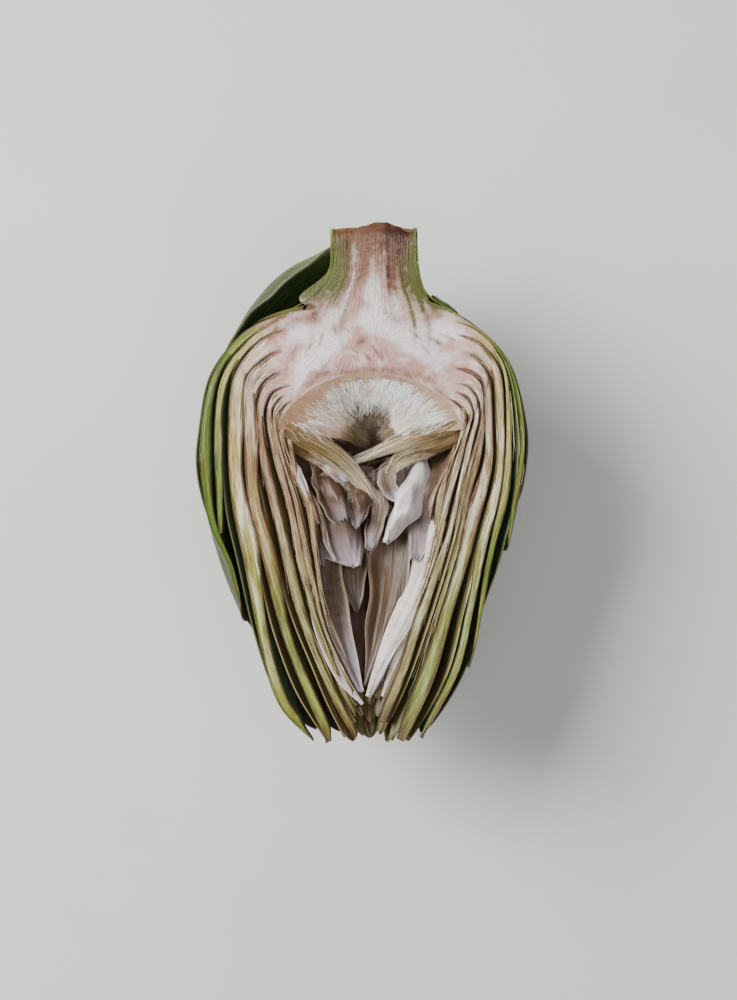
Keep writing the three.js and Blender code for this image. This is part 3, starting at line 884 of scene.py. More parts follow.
# The palest of them: nearly white and bright, with a trace of rose at the tip and tan at the torn root.
WHITE_LEAF = Tissue(
    name="white_leaf", dull="7c5c3c", pale="fffdfc", root="6e5226", tip="e6d6d8", roughness=0.32,
    tip_share=0.4, root_reach=0.55, fibre="8a6440", fibre_share=0.3, fibre_width=0.5, rim="f2e8dc",
    rim_share=0.5, relief=0.2,
)
# The stem's end: cut flesh that has dried and browned, matt, with the ends of its fibres as dots and lines.
STEM_END = PlainFlesh(name="stem_end_flesh", light="6c5038", dark="50382a", fibre="84684c", roughness=0.6)
# The stem's skin: ribbed, olive green and a little waxy.
STEM_RIND = PlainFlesh(name="ribbed_green_rind", light="626c24", dark="48521c", fibre="7e8640", roughness=0.5)


# ---- Bracts ----


@dataclass
class Bract:
    """One bract of the head, on its flow line."""

    azimuth: float
    depth: float
    reach: float  # where on its flow line it ends
    seed: float
    part: Part
    trough: float | None = None  # radius that its tip is curved to across
    root: float = 0.05  # where on its flow line it starts
    half_spread_deg: float = 28.0  # half of what it spans round the head
    tip_half_width: float = 5.5  # least half width before the tip rounds off
    tip_bend: float = 7.0  # tightest radius that it is curved to across
    spacing: float = 1 / LEVEL_SPAN  # the depth between two bracts of one column
    late_spacing: float = 1 / LEVEL_SPAN  # the same past the tip of a shorter neighbour
    thickest: tuple[float, float] = (4.3, 3.0)  # at the base, from the outside of the head inwards
    thinnest: tuple[float, float] = (1.7, 1.3)  # at the tip
    plump: float = 1.0  # its own share of that
    tone: float = 0.7  # how pale its cut flesh is
    edge: float = 0.4  # its thickness at the sides
    sink: float = 0.0  # how far below the cut face its own cut lies
    sag: float = 0.6  # how much its cut edge wanders down
    flare: float = 0.0  # how far its tip stands out
    torn: float = 0.0  # how much of its length the notches of its tip take
    wave: float = 0.30  # relief of its whole face
    curl: float = 0.35  # how far its thin edges wander in and out
    uneven: float = 0.14  # how much its thickness varies along it
    rows: int = 64
    columns: int = 24

    def share(self, q: Array) -> Array:
        """Where on its flow line the bract is at q of the way to its tip."""
        return lerp(self.root, self.reach, q)

    def width(self, q: Array) -> Array:
        """Its half width at q against its full one: broad, with a round tip."""
        past = np.clip((q - 0.45) / 0.55, 0, 1)
        return np.maximum(0.05, (1 - past**3.6) ** 0.55)

    def thickness(self, q: Array) -> Array:
        """Its thickness along the midline, as far as its neighbours leave room.

        Args:
            q: how far to its tip.

        Returns:
            Millimetres.
        """
        share = self.share(q)
        gap = lerp(0.1, 0.6, ease(share, 0.1, 0.4))
        spacings = (self.spacing, self.late_spacing)
        early, late = (GROWTH.room(self.azimuth, self.depth, share, s) for s in spacings)
        room = lerp(early, late, ease(share, 0.72, 0.84))
        base, tip = lerp(*self.thickest, self.depth), lerp(*self.thinnest, self.depth)
        most = lerp(base, tip, ease(q, 0.3, 1.0))
        uneven = 1 + self.uneven * np.sin(share * 21 + self.seed * 40) * ease(share, 0.2, 0.4)
        return np.maximum(np.minimum(room - gap, most) * self.plump * uneven, 0.5)

    def middle(self, q: Array, v: Array) -> tuple[Array, Array]:
        """The middle surface without relief.

        Args:
            q: how far to its tip.
            v: how far across it.

        Returns:
            Its points, and their distance from its midline in mm.
        """
        share = self.share(q)
        axis_distance, _ = GROWTH.line(self.azimuth, self.depth, share)
        bend = np.maximum(axis_distance, self.tip_bend)
        if self.trough:
            bend = lerp(bend, np.minimum(bend, self.trough), ease(q, 0.45, 0.85))
        spread = math.radians(self.half_spread_deg) * axis_distance
        half = np.maximum(spread, self.tip_half_width) * self.width(q)
        angle = v * half / bend
        radius, y = GROWTH.line(self.azimuth + np.degrees(angle), self.depth, share)
        return troughed(self.azimuth, radius, y, bend + radius - axis_distance, angle), v * half

    def surface(self, q: Array, v: Array, relief: Ripple) -> tuple[Array, Array, Array]:
        """The relieved middle surface.

        Args:
            q: how far to its tip.
            v: how far across it.
            relief: the bract's own relief.

        Returns:
            Its points, its outward normals and the distance from the midline in mm.
        """
        step = 0.01
        points, across = self.middle(q, v)
        along = self.middle(np.minimum(q + step, 1), v)[0] - self.middle(np.maximum(q - step, 0), v)[0]
        sideways = self.middle(q, v + step)[0] - self.middle(q, v - step)[0]
        normal = unit(np.cross(sideways, along))
        lift = self.wave * relief(q * 1.6, v * 0.8) * ease(q, 0.15, 0.7)
        lift = lift + self.flare * ease(q, 0.72, 1.0) ** 2
        lift = lift + self.curl * ease(q, 0.1, 0.5) * np.abs(v) ** 3 * relief(q * 5, np.sign(v) * 0.3)
        return points + normal * lift[..., None], normal, across


class BractMaker:
    """Builds bracts into a draft: two faces, the cut where the knife went through, and thin edges."""

    SKIN_OUT, SKIN_IN, CUT = 0, 1, 2  # material slots
    PROBES = 61  # points across a bract that the knife's line is looked for between
    CUT_STEPS = 8  # strips across the cut flesh
    CUT_ROUGHNESS = 0.20
    KEEP_OFF = 0.05  # how far under the cut face a bract ends at least
    ROOT_SINK = 0.9  # how far under it lies where it runs into the shoulder
    FLOOR_GAP = 0.02

    def __init__(self, draft: Draft, rng: np.random.Generator) -> None:
        """Keeps the draft that the bracts go into and the source of their random relief."""
        self.draft = draft
        self.rng = rng

    @staticmethod
    def crossing(above: Array, v: Array, way: int) -> tuple[float, bool]:
        """Where one row of a bract meets the knife.

        Args:
            above: how far each of its points lies over the knife's line.
            v: where these points are across the bract.
            way: 1 to look to its right, -1 to its left.

        Returns:
            Where it ends, and whether it is cut there.
        """
        k = int(np.argmin(above))
        while 0 <= k + way < len(v):
            if above[k + way] > 0:
                t = above[k] / (above[k] - above[k + way]) if above[k] < 0 else 0.0
                return v[k] + (v[k + way] - v[k]) * t, True
            k += way
        return v[k], False

    def kept_range(self, bract: Bract, q: Array, relief: Ripple, limit: Array) -> tuple[Array, Array, Array]:
        """The stretch of each row that lies under the knife.

        Args:
            bract: the bract.
            q: its rows.
            relief: its own relief.
            limit: the height of the knife's line at each row.

        Returns:
            For each row, the two ends as v, and whether each is cut.
        """
        probe = np.linspace(-1, 1, self.PROBES)
        above = bract.surface(q[:, None], probe[None, :], relief)[0][..., 2] - limit[:, None]
        ends = [[self.crossing(row, probe, way) for row in above] for way in (-1, 1)]
        low, high = (np.array([place for place, _ in side]) for side in ends)
        return low, np.maximum(high, low + 0.02), np.array([[cut for _, cut in side] for side in ends])

    def add(self, bract: Bract) -> None:
        """Adds one bract to the draft.

        Args:
            bract: how it is laid out.
        """
        relief, sway = Ripple(self.rng, 5, 1.0), Ripple(self.rng, 4, 2.2)
        q = 1 - (1 - even(bract.rows)) ** 1.3
        share = bract.share(q)
        wander = 0.5 * (1 + sway(q, np.zeros_like(q))) * ease(share, 0.16, 0.4)
        rooted = 1 - ease(share, 0.12, 0.26)
        sunk = lerp(bract.sink, self.ROOT_SINK, rooted) + bract.sag * np.maximum(wander, 0)
        limit = -sunk - self.KEEP_OFF
        low, high, cut = self.kept_range(bract, q, relief, limit)
        v = low[:, None] + (high - low)[:, None] * even(bract.columns)[None, :]
        notch = np.clip(np.abs(Ripple(self.rng, 6, 3.0)(v * 0.5, 0 * v)), 0, 1)
        rows = q[:, None] * (1 - bract.torn * notch)
        middle, normal, across = bract.surface(rows, v, relief)
        thin = np.maximum(1 - np.abs(v) ** 3, 0) * (1 - 0.3 * ease(q, 0.94, 1.0))[:, None]
        thick = np.maximum(bract.thickness(q)[:, None] * thin, bract.edge)
        along_mm = np.broadcast_to(share[:, None] * LINE_MM, v.shape)
        carried = {"depth": bract.depth, "seed": bract.seed, "tone": bract.tone}
        faces = []
        for through in (0.0, 1.0):
            points = middle - normal * (thick * through)[..., None]
            points[..., 2] = np.clip(points[..., 2], self.FLOOR_GAP - AXIS_HEIGHT, limit[:, None])
            for end, ends_cut in zip((0, -1), cut):
                points[ends_cut, end, 2] = limit[ends_cut]
            faces.append(
                self.draft.add_points(
                    points, share=rows, side=v, along_mm=along_mm, across_mm=across, through=through,
                    **carried,
                )
            )
        outer, inner = faces
        self.draft.add_grid(outer, self.SKIN_OUT)
        self.draft.add_grid(inner[:, ::-1], self.SKIN_IN)
        self.draft.add_grid(np.stack([outer[0], inner[0]]), self.CUT)
        self.draft.add_grid(np.stack([inner[-1], outer[-1]]), self.SKIN_OUT)
        carried.update(share=rows[:, 0], along_mm=along_mm[:, 0])
        for first, second, end, ends_cut in ((outer, inner, 0, cut[0]), (inner, outer, -1, cut[1])):
            if ends_cut.mean() > 0.3:
                self.add_cut(first[:, end], second[:, end], carried)
            else:
                self.draft.add_grid(np.stack([first[:, end], second[:, end]], axis=1), self.SKIN_IN)

    def add_cut(self, first: Array, second: Array, carried: dict[str, Array | float]) -> None:
        """Closes one long side with a rough strip of cut flesh.

        Args:
            first: the point numbers along one of its edges.
            second: those along the other.
            carried: what its points carry, "share" among it.
        """
        every = np.concatenate(self.draft.points)
        a, b = every[first], every[second]
        outer_first = first[0] < second[0]
        width = np.linalg.norm(b - a, axis=1)
        fibre = Ripple(self.rng, 8, 1.0)
        columns = [first]
        for t in np.arange(1, self.CUT_STEPS) / self.CUT_STEPS:
            through = t if outer_first else 1 - t
            rough = fibre(carried["share"] * 7, np.full(len(width), t * 2.6))
            points = lerp(a, b, t)
            points[:, 2] += rough * self.CUT_ROUGHNESS * np.minimum(width, 1.0)
            across = width * through
            columns.append(self.draft.add_points(points, through=through, across_mm=across, **carried))
        columns.append(second)
        self.draft.add_grid(np.stack(columns, axis=1), self.CUT)


@dataclass
class HeadOfBracts:
    """All the bracts of the half head, in columns round it and in levels from the outside inwards."""

    columns: Rows = (
        (-87, 0.5), (-59, 0.0), (-30, 0.5), (1, 0.0), (31, 0.5), (61, 0.0), (88, 0.5),
    )  # azimuth, and how much of a level further in the column stands
    green_levels: int = 3
    reach: tuple[float, ...] = (0.58, 0.80, 1.0, 1.0, 1.0, 0.97, 0.93)  # by level
    whole_reach: tuple[float, float] = (1.05, 0.017)  # of uncut inner bracts, and how much less a level in
    torn_level: int = 7  # this level and those further in are torn
    torn_reach: tuple[float, float] = (0.66, 0.12)
    lean_deg: float = 3.0
    cut_azimuth: float = 80.0  # columns further round than this are cut through
    loose: dict[tuple[int, int], dict[str, object]] = field(
        default_factory=lambda: {
            (-87, 0): {"azimuth": -74, "reach": 0.75, "trough": 13.0, "tone": 0.35},
            (-87, 1): {"reach": 0.56, "tone": 0.2},
            (-87, 2): {
                "reach": 1.0, "trough": 12.0, "thickest": (5.6, 5.6), "thinnest": (2.2, 2.2), "plump": 1.0,
                "tone": 0.8,
            },
            (-87, 3): {
                "azimuth": -86, "depth": 0.385, "reach": 1.0, "trough": 8.5, "thickest": (4.6, 4.6),
                "thinnest": (2.7, 2.7), "late_spacing": 0.17, "tone": 0.35,
            },
            (-87, 4): {"azimuth": -84, "trough": 6.5, "thinnest": (2.4, 2.4), "late_spacing": 0.15},
            (-59, 0): {"depth": 0.04},
            (61, 0): {"depth": 0.03},
            (88, 0): {"azimuth": 79, "reach": 0.64, "trough": 16.0, "plump": 0.62, "tone": 0.3},
            (88, 1): {
                "azimuth": 81, "depth": 0.208, "reach": 0.86, "trough": 17.0, "plump": 0.8, "tone": 0.1,
            },
            (88, 2): {"reach": 0.99, "tone": 0.8, "trough": 9.0},
            (88, 3): {"azimuth": 84, "trough": 7.0, "thinnest": (3.6, 3.6), "late_spacing": 0.2, "tone": 0.7},
            (88, 4): {"reach": 0.80},
            (88, 5): {"azimuth": 84, "reach": 0.98, "thinnest": (3.0, 3.0), "late_spacing": 0.2, "tone": 0.9},
            (88, 6): {"reach": 0.76},
        }
    )  # by column and level: what sets a bract apart from its neighbours

    def bract(self, azimuth: float, phase: float, level: int, rng: np.random.Generator) -> Bract:
        """Lays one bract out.

        Args:
            azimuth: its column.
            phase: how much of a level further in that column stands.
            level: 0 on the outside.
            rng: draws how it leans, how deep its cut edge lies and how plump and pale it is.

        Returns:
            The bract.
        """
        lean, seed, sink, flare, plump, tone = (rng.uniform(-1, 1), *(rng.uniform() for _ in range(5)))
        green, cut, left = level < self.green_levels, abs(azimuth) > self.cut_azimuth, azimuth < 0
        depth = (level + phase) / LEVEL_SPAN
        made = Bract(
            azimuth=azimuth + (0.0 if cut else lean * self.lean_deg),
            depth=depth,
            reach=self.reach[min(level, len(self.reach) - 1)] - 0.02 * seed,
            seed=seed,
            part=Part.GREEN if green else Part.PALE,
            root=0.04 if green else 0.09,
            sink=(0.6 if green else 1.5) * sink,
            plump=(0.78 if left else 0.86) + 0.22 * plump,
            tone=(0.35 if left else 1.0) * (0.5 + 0.6 * tone),
            tip_half_width=float(lerp(8.5, 4.6, ease(depth, 0.25, 0.8))),
            flare=(0.9 if green else 0.3) * flare,
            columns=18 if cut or green else 14,
            rows=110 if cut else 46,
        )
        if not (cut or green):
            made.reach, made.tip_half_width = self.whole_reach[0] - self.whole_reach[1] * level, 4.4
        if level >= self.torn_level:
            shorter = self.torn_reach[1] * (level - self.torn_level)
            made.reach, made.torn = self.torn_reach[0] - shorter + 0.08 * seed, 0.12
        elif cut and not green:
            made.azimuth, made.trough = math.copysign(abs(azimuth) - (3 + 6 * flare), azimuth), 11 + 5 * sink
        for name, value in self.loose.get((azimuth, level), {}).items():
            setattr(made, name, value)
        return made

    def build(self, skins: dict[Part, tuple[Material, ...]]) -> CutSigns:
        """Makes one piece for each level of bracts, in the finish of its colour group.

        Args:
            skins: outer skin, inner skin and cut face of each group.

        Returns:
            For each side and level, the seed and tone of the bract that is cut there.
        """
        rng = np.random.default_rng(21)
        plan = [[self.bract(*column, level, rng) for level in range(LEVELS)] for column in self.columns]
        for level in range(LEVELS):
            part = plan[0][level].part
            draft = Draft(f"bracts_level_{level + 1}", LEAF_VALUES)
            maker = BractMaker(draft, rng)
            for column in plan:
                maker.add(column[level])
            mount(draft.finish(skins[part]), part)
        ends = {-1: plan[0], 1: plan[-1]}
        return {(side, level): (b.seed, b.tone) for side in ends for level, b in enumerate(ends[side])}


# ---- Sheets: leaves and curtains ----


def add_sheet(
    draft: Draft, outside: Array, thickness: Array | float, slots: tuple[int, int], **values: object
) -> None:
    """Adds a closed sheet to a draft.

    Args:
        draft: the piece that it belongs to.
        outside: a grid of points on its outer face, rows from root to tip.
        thickness: how thick it is at each point, in mm.
        slots: the material slots of its outer and inner face.
        **values: what the points carry.
    """
    rows, columns = np.gradient(outside, axis=0), np.gradient(outside, axis=1)
    inwards = -unit(np.cross(columns, rows)) * np.broadcast_to(thickness, outside.shape[:-1])[..., None]
    outer, inner = (
        draft.add_points(outside + inwards * through, through=through, **values) for through in (0.0, 1.0)
    )
    draft.add_shell(outer, inner, slots)


def add_fibre(draft: Draft, spine: Array, radius: float, **values: float) -> None:
    """Adds one thin fibre, three-sided and tapered.

    Args:
        draft: the piece that it belongs to.
        spine: the points that it runs through.
        radius: its radius at the root, in mm.
        **values: what its points carry.
    """
    ahead = unit(np.gradient(spine, axis=0))
    side = unit(np.cross(ahead, (0.0, 0.0, 1.0)) + 1e-6)
    up = np.cross(side, ahead)
    t = np.linspace(0, 1, len(spine))[:, None]
    width = radius * lerp(1.0, 0.3, t)
    ring = [spine + (side * math.cos(c) + up * math.sin(c)) * width for c in (0.5, 2.6, 4.7)]
    draft.add_tube(draft.add_points(np.stack(ring, axis=1), share=t, along_mm=t * 12, seed=0.2, **values))


@dataclass(frozen=True)
class Leaf:
    """A thin leaf that is swept along a line, hollow across and torn at its tip."""

    line: Line
    half_width: tuple[float, ...]  # from root to tip
    faces: tuple[float, float, float] = (0.0, 0.0, 1.0)  # where its hollow face looks
    hollow: float = 9.0  # radius of its hollow across
    thickness: float = 0.45
    torn: float = 0.1  # how much of its length the tip's notches take
    wave: float = 0.5  # relief
    fibres: float = 0.0  # height of lengthwise ridges
    ragged: float = 0.10  # how uneven its two sides are
    tone: float = 0.5

    def length(self) -> float:
        """How long its line is, measured straight from station to station."""
        return float(np.linalg.norm(np.diff(np.array(self.line), axis=0), axis=1).sum())

    def points(self, rng: np.random.Generator, rows: int, columns: int) -> tuple[Array, Array, Array, Array]:
        """Its outer face as a grid.

        Args:
            rng: draws its tears and its relief.
            rows: how many steps it has from root to tip.
            columns: how many it has across.

        Returns:
            The points, with q, v and the distance from the midline in mm.
        """
        v = even(columns, -1, 1)
        notch = np.abs(Ripple(rng, 8, 7.0)(v * 0.5, np.zeros_like(v)))
        q = even(rows)[:, None] * (1 - self.torn * np.clip(notch, 0, 1))[None, :]
        v = np.broadcast_to(v[None, :], q.shape)
        middle = along_line(self.line, q)
        step = 0.02
        before = along_line(self.line, np.maximum(q - step, 0))
        ahead = unit(along_line(self.line, np.minimum(q + step, 1)) - before)
        side = unit(np.cross(np.array(self.faces, float), ahead))
        inwards = np.cross(ahead, side)
        half = along_line([(w,) for w in self.half_width], q)[..., 0]
        half = half * (1 + self.ragged * Ripple(rng, 7, 4.0)(q, np.sign(v) * 0.37))
        across = v * half
        angle = across / self.hollow
        relief = self.wave * Ripple(rng, 6, 1.6)(q, v * 0.5) * ease(q, 0.0, 0.3)
        relief = relief + 0.16 * self.wave * Ripple(rng, 12, 4.0)(q, v) * ease(q, 0.05, 0.4)
        ridge = self.fibres * Ripple(rng, 9, 5.0)(across * 0.35, q * 0.35)
        rise = self.hollow * (1 - np.cos(angle)) + relief + ridge
        points = middle + side * (self.hollow * np.sin(angle))[..., None] + inwards * rise[..., None]
        return points, q, v, across


@dataclass
class CavityLeaves:
    """The innermost leaves, torn by the knife, and the fibre sheets under the choke."""

    curtains: tuple[Leaf, ...] = (
        Leaf(((-23.4, 17, -1.4), (-25, 12, -0.7), (-23.4, 7.6, -0.6), (-18.6, 5, -0.9), (-12.8, 2, -1.6),
             (-7, -2.4, -3), (-2.6, -7.2, -4.6), (0.8, -11.8, -6)), (0.2, 0.7, 1.7, 2.7, 3.1, 2.7, 1.8, 0.7),
             (0.15, -0.35, 1), hollow=-5.5, torn=0.3, wave=0.35, fibres=0.3, tone=0.35),
        Leaf(((-28.2, 7, -5), (-24.2, 4.6, -3), (-18.5, 2, -3.2), (-13, -0.6, -4.4), (-8.6, -4.5, -5.8),
             (-5, -10, -7.4)), (1, 2, 2.6, 2.8, 2.6, 0.8), (0.2, -0.5, 1), hollow=-6, torn=0.35, fibres=0.3,
             tone=0.1),
        Leaf(((24.2, 17.4, -1.4), (25.8, 12.6, -0.7), (23.6, 8.6, -0.6), (18.4, 6.4, -0.8), (12, 4.6, -1.2),
             (5.2, 2.2, -2.4), (-1.9, -1.4, -4.2)), (0.2, 0.7, 1.7, 2.5, 2.5, 1.9, 0.4), (-0.1, -0.3, 1),
             hollow=-6, torn=0.15, wave=0.3, fibres=0.3, tone=0.6),
        Leaf(((28.6, 7.4, -5), (24.6, 5.4, -2), (19.5, 3, -1.7), (14.5, 1.4, -2.8), (9, -0.6, -4.4),
             (5, -6, -6)), (1.2, 1.9, 2.2, 2.4, 2.6, 1), (-0.2, -0.4, 1), hollow=-6, torn=0.3, fibres=0.3,
             tone=0.2),
    )
    mauve: tuple[Leaf, ...] = (
        Leaf(((-9, 2, -13), (-9.4, -7, -9.5), (-8.2, -16, -6.8), (-6.4, -23.5, -5), (-3.4, -30.4, -4.6)),
             (4, 7, 8.2, 7.8, 1.2), (0.3, 0.15, 1), hollow=-9, torn=0.12, wave=3.2, tone=0.32, ragged=0.25),
        Leaf(((-14.5, 0, -9), (-12, -6.2, -5.2), (-9.6, -12.2, -3.8), (-7.6, -18.4, -3.8)),
             (2.4, 4.2, 4.4, 2.4), (0.3, 0.2, 1), hollow=-6, torn=0.3, wave=2, tone=0.05, ragged=0.35),
        Leaf(((-14, -1, -8), (-11, -3.6, -5), (-8.6, -5.4, -4), (-6.2, -7.4, -4.2)), (1, 1.8, 2, 0.7),
             (0.2, 0.3, 1), hollow=6, torn=0.4, wave=0.9, tone=0.95, ragged=0.3),
        Leaf(((6.4, -1, -9), (5, -5.4, -6), (5.8, -9.4, -5), (7.6, -12.6, -4.8)), (1.6, 2.6, 2.2, 0.8),
             (-0.3, 0.2, 1), hollow=5, torn=0.25, wave=1.3, tone=0.6, ragged=0.3),
        Leaf(((-1, -3, -9), (-2.4, -9, -5.8), (-3.6, -14.5, -4.4), (-3.6, -20.4, -4.4)), (2, 3.6, 3.2, 0.5),
             (-0.25, 0.1, 1), hollow=-5, torn=0.35, wave=2.6, tone=0.12, ragged=0.4),
        Leaf(((3, -6, -9), (2, -12, -6), (0.8, -19, -4.8), (-0.4, -26, -4.8)), (1.5, 3.2, 2.9, 0.6),
             (-0.4, 0.1, 1), hollow=-5, torn=0.25, wave=2.2, tone=0.25, ragged=0.3),
        Leaf(((0.5, -16, -18), (1, -34, -15), (-0.6, -51, -10.5), (-2.4, -67, -5.5)), (9.5, 9, 6.4, 1.2),
             torn=0.05, wave=1.4, tone=-0.15),
        Leaf(((-6, -14, -14), (-5.4, -28, -11), (-3.6, -43, -8.6)), (6.6, 6.4, 0.4), hollow=7, torn=0.2,
             wave=1.4, tone=-0.1, ragged=0.2),
        Leaf(((-16, -12, -10), (-13.2, -28, -7.4), (-10, -45, -5), (-2.4, -64.5, -2.6)), (4, 5.6, 4.8, 0.4),
             (0.5, 0, 1), hollow=7.5, torn=0.06, wave=1.3, tone=0.15, ragged=0.14),
        Leaf(((6.4, -12, -13), (6, -30, -9.6), (3, -48, -6.5), (-1.4, -63, -4)), (4.4, 6, 4, 0.4),
             (-0.35, 0, 1), hollow=8, torn=0.08, wave=1.4, tone=-0.15, ragged=0.15),
        Leaf(((-21.5, 3, -10), (-19.2, -8, -8), (-16, -20, -7), (-13.5, -31, -6.4)), (4.6, 5.6, 4.6, 0.8),
             (0.5, 0, 1), torn=0.2, wave=1.3, tone=0.1, ragged=0.15),
        Leaf(((21, 2, -8), (18.4, -6, -5.8), (15.4, -16, -4.8), (12.6, -29, -4.8)), (4.4, 6, 5.4, 1.6),
             (-0.5, 0, 1), hollow=-9, torn=0.15, wave=1.8, tone=0.2, ragged=0.2),
    )
    white: tuple[Leaf, ...] = (
        Leaf(((13, 1, -9), (12, -4, -5.4), (9.8, -11.5, -3), (7, -18, -3.2), (3.8, -24, -4.2)),
             (2.6, 4.9, 5, 3.3, 0.4), (-0.3, 0.15, 1), hollow=-7, torn=0.16, wave=3.2, tone=0.7, ragged=0.3),
        Leaf(((22.6, 0, -6.5), (21.2, -9, -3.6), (18, -20, -2.6), (14.6, -33.5, -3)), (1.2, 1.9, 1.9, 0.4),
             (-0.5, 0, 1), hollow=5, wave=0.8, tone=0.55, ragged=0.2),
        Leaf(((19, -13, -8), (15.4, -27, -4.6), (9.8, -41.5, -3.2), (4, -55, -2.2), (-0.6, -65.5, -1.8)),
             (2, 4.4, 3.6, 2.1, 0.4), (-0.45, 0, 1), hollow=-7, torn=0.05, wave=1.5, tone=0.55, ragged=0.2),
        Leaf(((-22, 1, -5.4), (-20.6, -3, -2.6), (-18.2, -8.4, -1.9), (-15.3, -15.2, -2.2)),
             (0.6, 1.1, 1.2, 0.6), (0.5, 0, 1), hollow=4, torn=0.15, ragged=0.3),
        Leaf(((-17.6, -8, -4.6), (-14.4, -13.4, -3.2), (-12.6, -19.6, -3.2), (-11.8, -24, -3.6),
             (-9.6, -28.6, -4.4)), (0.5, 0.7, 0.7, 0.7, 0.3), (0.5, 0, 1), hollow=4, tone=0.1, ragged=0.2),
        Leaf(((13, -32, -6), (9, -49, -3.4), (3.4, -65.5, -2.6)), (1.2, 1.7, 0.15), (-0.4, 0, 1), hollow=5,
             torn=0.06, tone=0.3),
        Leaf(((-16.6, -32, -5), (-13.8, -47, -2.8), (-8.2, -59.5, -1.8), (-2, -67.5, -1.8)),
             (1.2, 1.7, 1.7, 0.3), (0.4, 0, 1), hollow=5, torn=0.04, wave=0.4),
    )
    leaf_grid: tuple[int, int] = (44, 28)  # rows and columns
    curtain_grid: tuple[int, int] = (70, 40)
    strands: int = 300  # loose fibres along each curtain
    strand_steps: int = 11
    highest: float = 0.2  # how far a loose fibre stands over the cut face at most

    def add_strands(self, draft: Draft, leaf: Leaf, points: Array, rng: np.random.Generator) -> None:
        """Lays loose fibres along a curtain, that fray past its end.

        Args:
            draft: the piece that they belong to.
            leaf: the curtain.
            points: the grid of its outer face.
            rng: draws where each one lies.
        """
        rows, columns = points.shape[:2]
        t = np.linspace(0, 1, self.strand_steps)
        for _ in range(self.strands):
            start, stop = rng.uniform(0, 0.25), rng.uniform(0.75, 1.0)
            drift = rng.uniform(0.04, 0.96) + rng.normal(0, 0.05) * t
            row = np.linspace(start, stop, self.strand_steps) * (rows - 1)
            column = np.clip(drift, 0, 1) * (columns - 1)
            spine = points[row.astype(int), column.astype(int)].copy()
            for _ in range(2):
                spine[1:-1] = (spine[:-2] + 2 * spine[1:-1] + spine[2:]) / 4
            end = (spine[-1] - spine[-4]) / 3
            frayed = max(0.0, rng.normal(0.6, 1.0)) if stop > 0.9 else 0.0
            spine = spine + (t**3)[:, None] * (end * frayed * 2 + rng.normal(0, 0.5, 3))
            spine[:, 2] = np.minimum(spine[:, 2] + rng.uniform(0.02, 0.22), self.highest)
            add_fibre(draft, spine, rng.uniform(0.02, 0.055), tone=leaf.tone + rng.uniform(-0.5, 0.4))

    def build(self, curtain: Material, fibre: Material, mauve: Material, white: Material) -> None:
        """Makes one piece for each kind.

        Args:
            curtain: the finish of the fibre sheets.
            fibre: that of the loose fibres on them.
            mauve: that of the shaded leaves.
            white: that of the pale ones.
        """
        rng = np.random.default_rng(31)
        loose = Draft("curtain_fibres", LEAF_VALUES)
        for name, leaves, material in (
            ("choke_curtains", self.curtains, curtain),
            ("mauve_leaves", self.mauve, mauve),
            ("white_leaves", self.white, white),
        ):
            draft = Draft(name, LEAF_VALUES)
            for leaf in leaves:
                grid = self.curtain_grid if leaf.fibres else self.leaf_grid
                points, q, v, across = leaf.points(rng, *grid)
                points[..., 2] = np.minimum(points[..., 2], -BractMaker.KEEP_OFF)
                add_sheet(
                    draft, points, leaf.thickness * (1 - 0.55 * np.abs(v) ** 3), (0, 0), share=q, side=v,
                    along_mm=q * leaf.length(), across_mm=across, seed=rng.uniform(), tone=leaf.tone,
                )
                if leaf.fibres:
                    self.add_strands(loose, leaf, points, rng)
            mount(draft.finish([material]), Part.PALE)
        mount(loose.finish([fibre]), Part.PALE)


@dataclass
class KnifeFibres:
    """Fibres that the knife pulled out of the cut bracts, and that lie along them."""

    count: int = 420
    steps: int = 10
    highest: float = 0.3  # how far one stands over the cut face at most

    def build(self, fibre: Material) -> None:
        """Makes them.

        Args:
            fibre: their finish.
        """
        rng = np.random.default_rng(41)
        draft = Draft("knife_fibres", LEAF_VALUES)
        t = np.linspace(0, 1, self.steps)
        for _ in range(self.count):
            side = rng.choice((-1, 1))
            share = rng.uniform(0.22, 0.84) + rng.uniform(0.02, 0.11) * t
            level = rng.integers(0 if share[-1] < 0.5 else (3 if share[-1] < 0.6 else 4), LEVELS - 1)
            depth = (level + 0.5 + rng.uniform(0.05, 0.45)) / LEVEL_SPAN + rng.normal(0, 0.006) * t
            radius, y = GROWTH.line(side * 90.0, np.clip(depth, 0, 1), share)
            lift = np.minimum(rng.uniform(-0.6, 0.0) + rng.uniform(0, 0.8) * t**2, self.highest)
            spine = np.stack([side * radius, y, lift], axis=-1)
            spine[:, :2] += rng.normal(0, 0.35, 2) * t[:, None] ** 2
            add_fibre(draft, spine, rng.uniform(0.03, 0.07), tone=rng.uniform(-0.2, 1.0))
        mount(draft.finish([fibre]), Part.PALE)


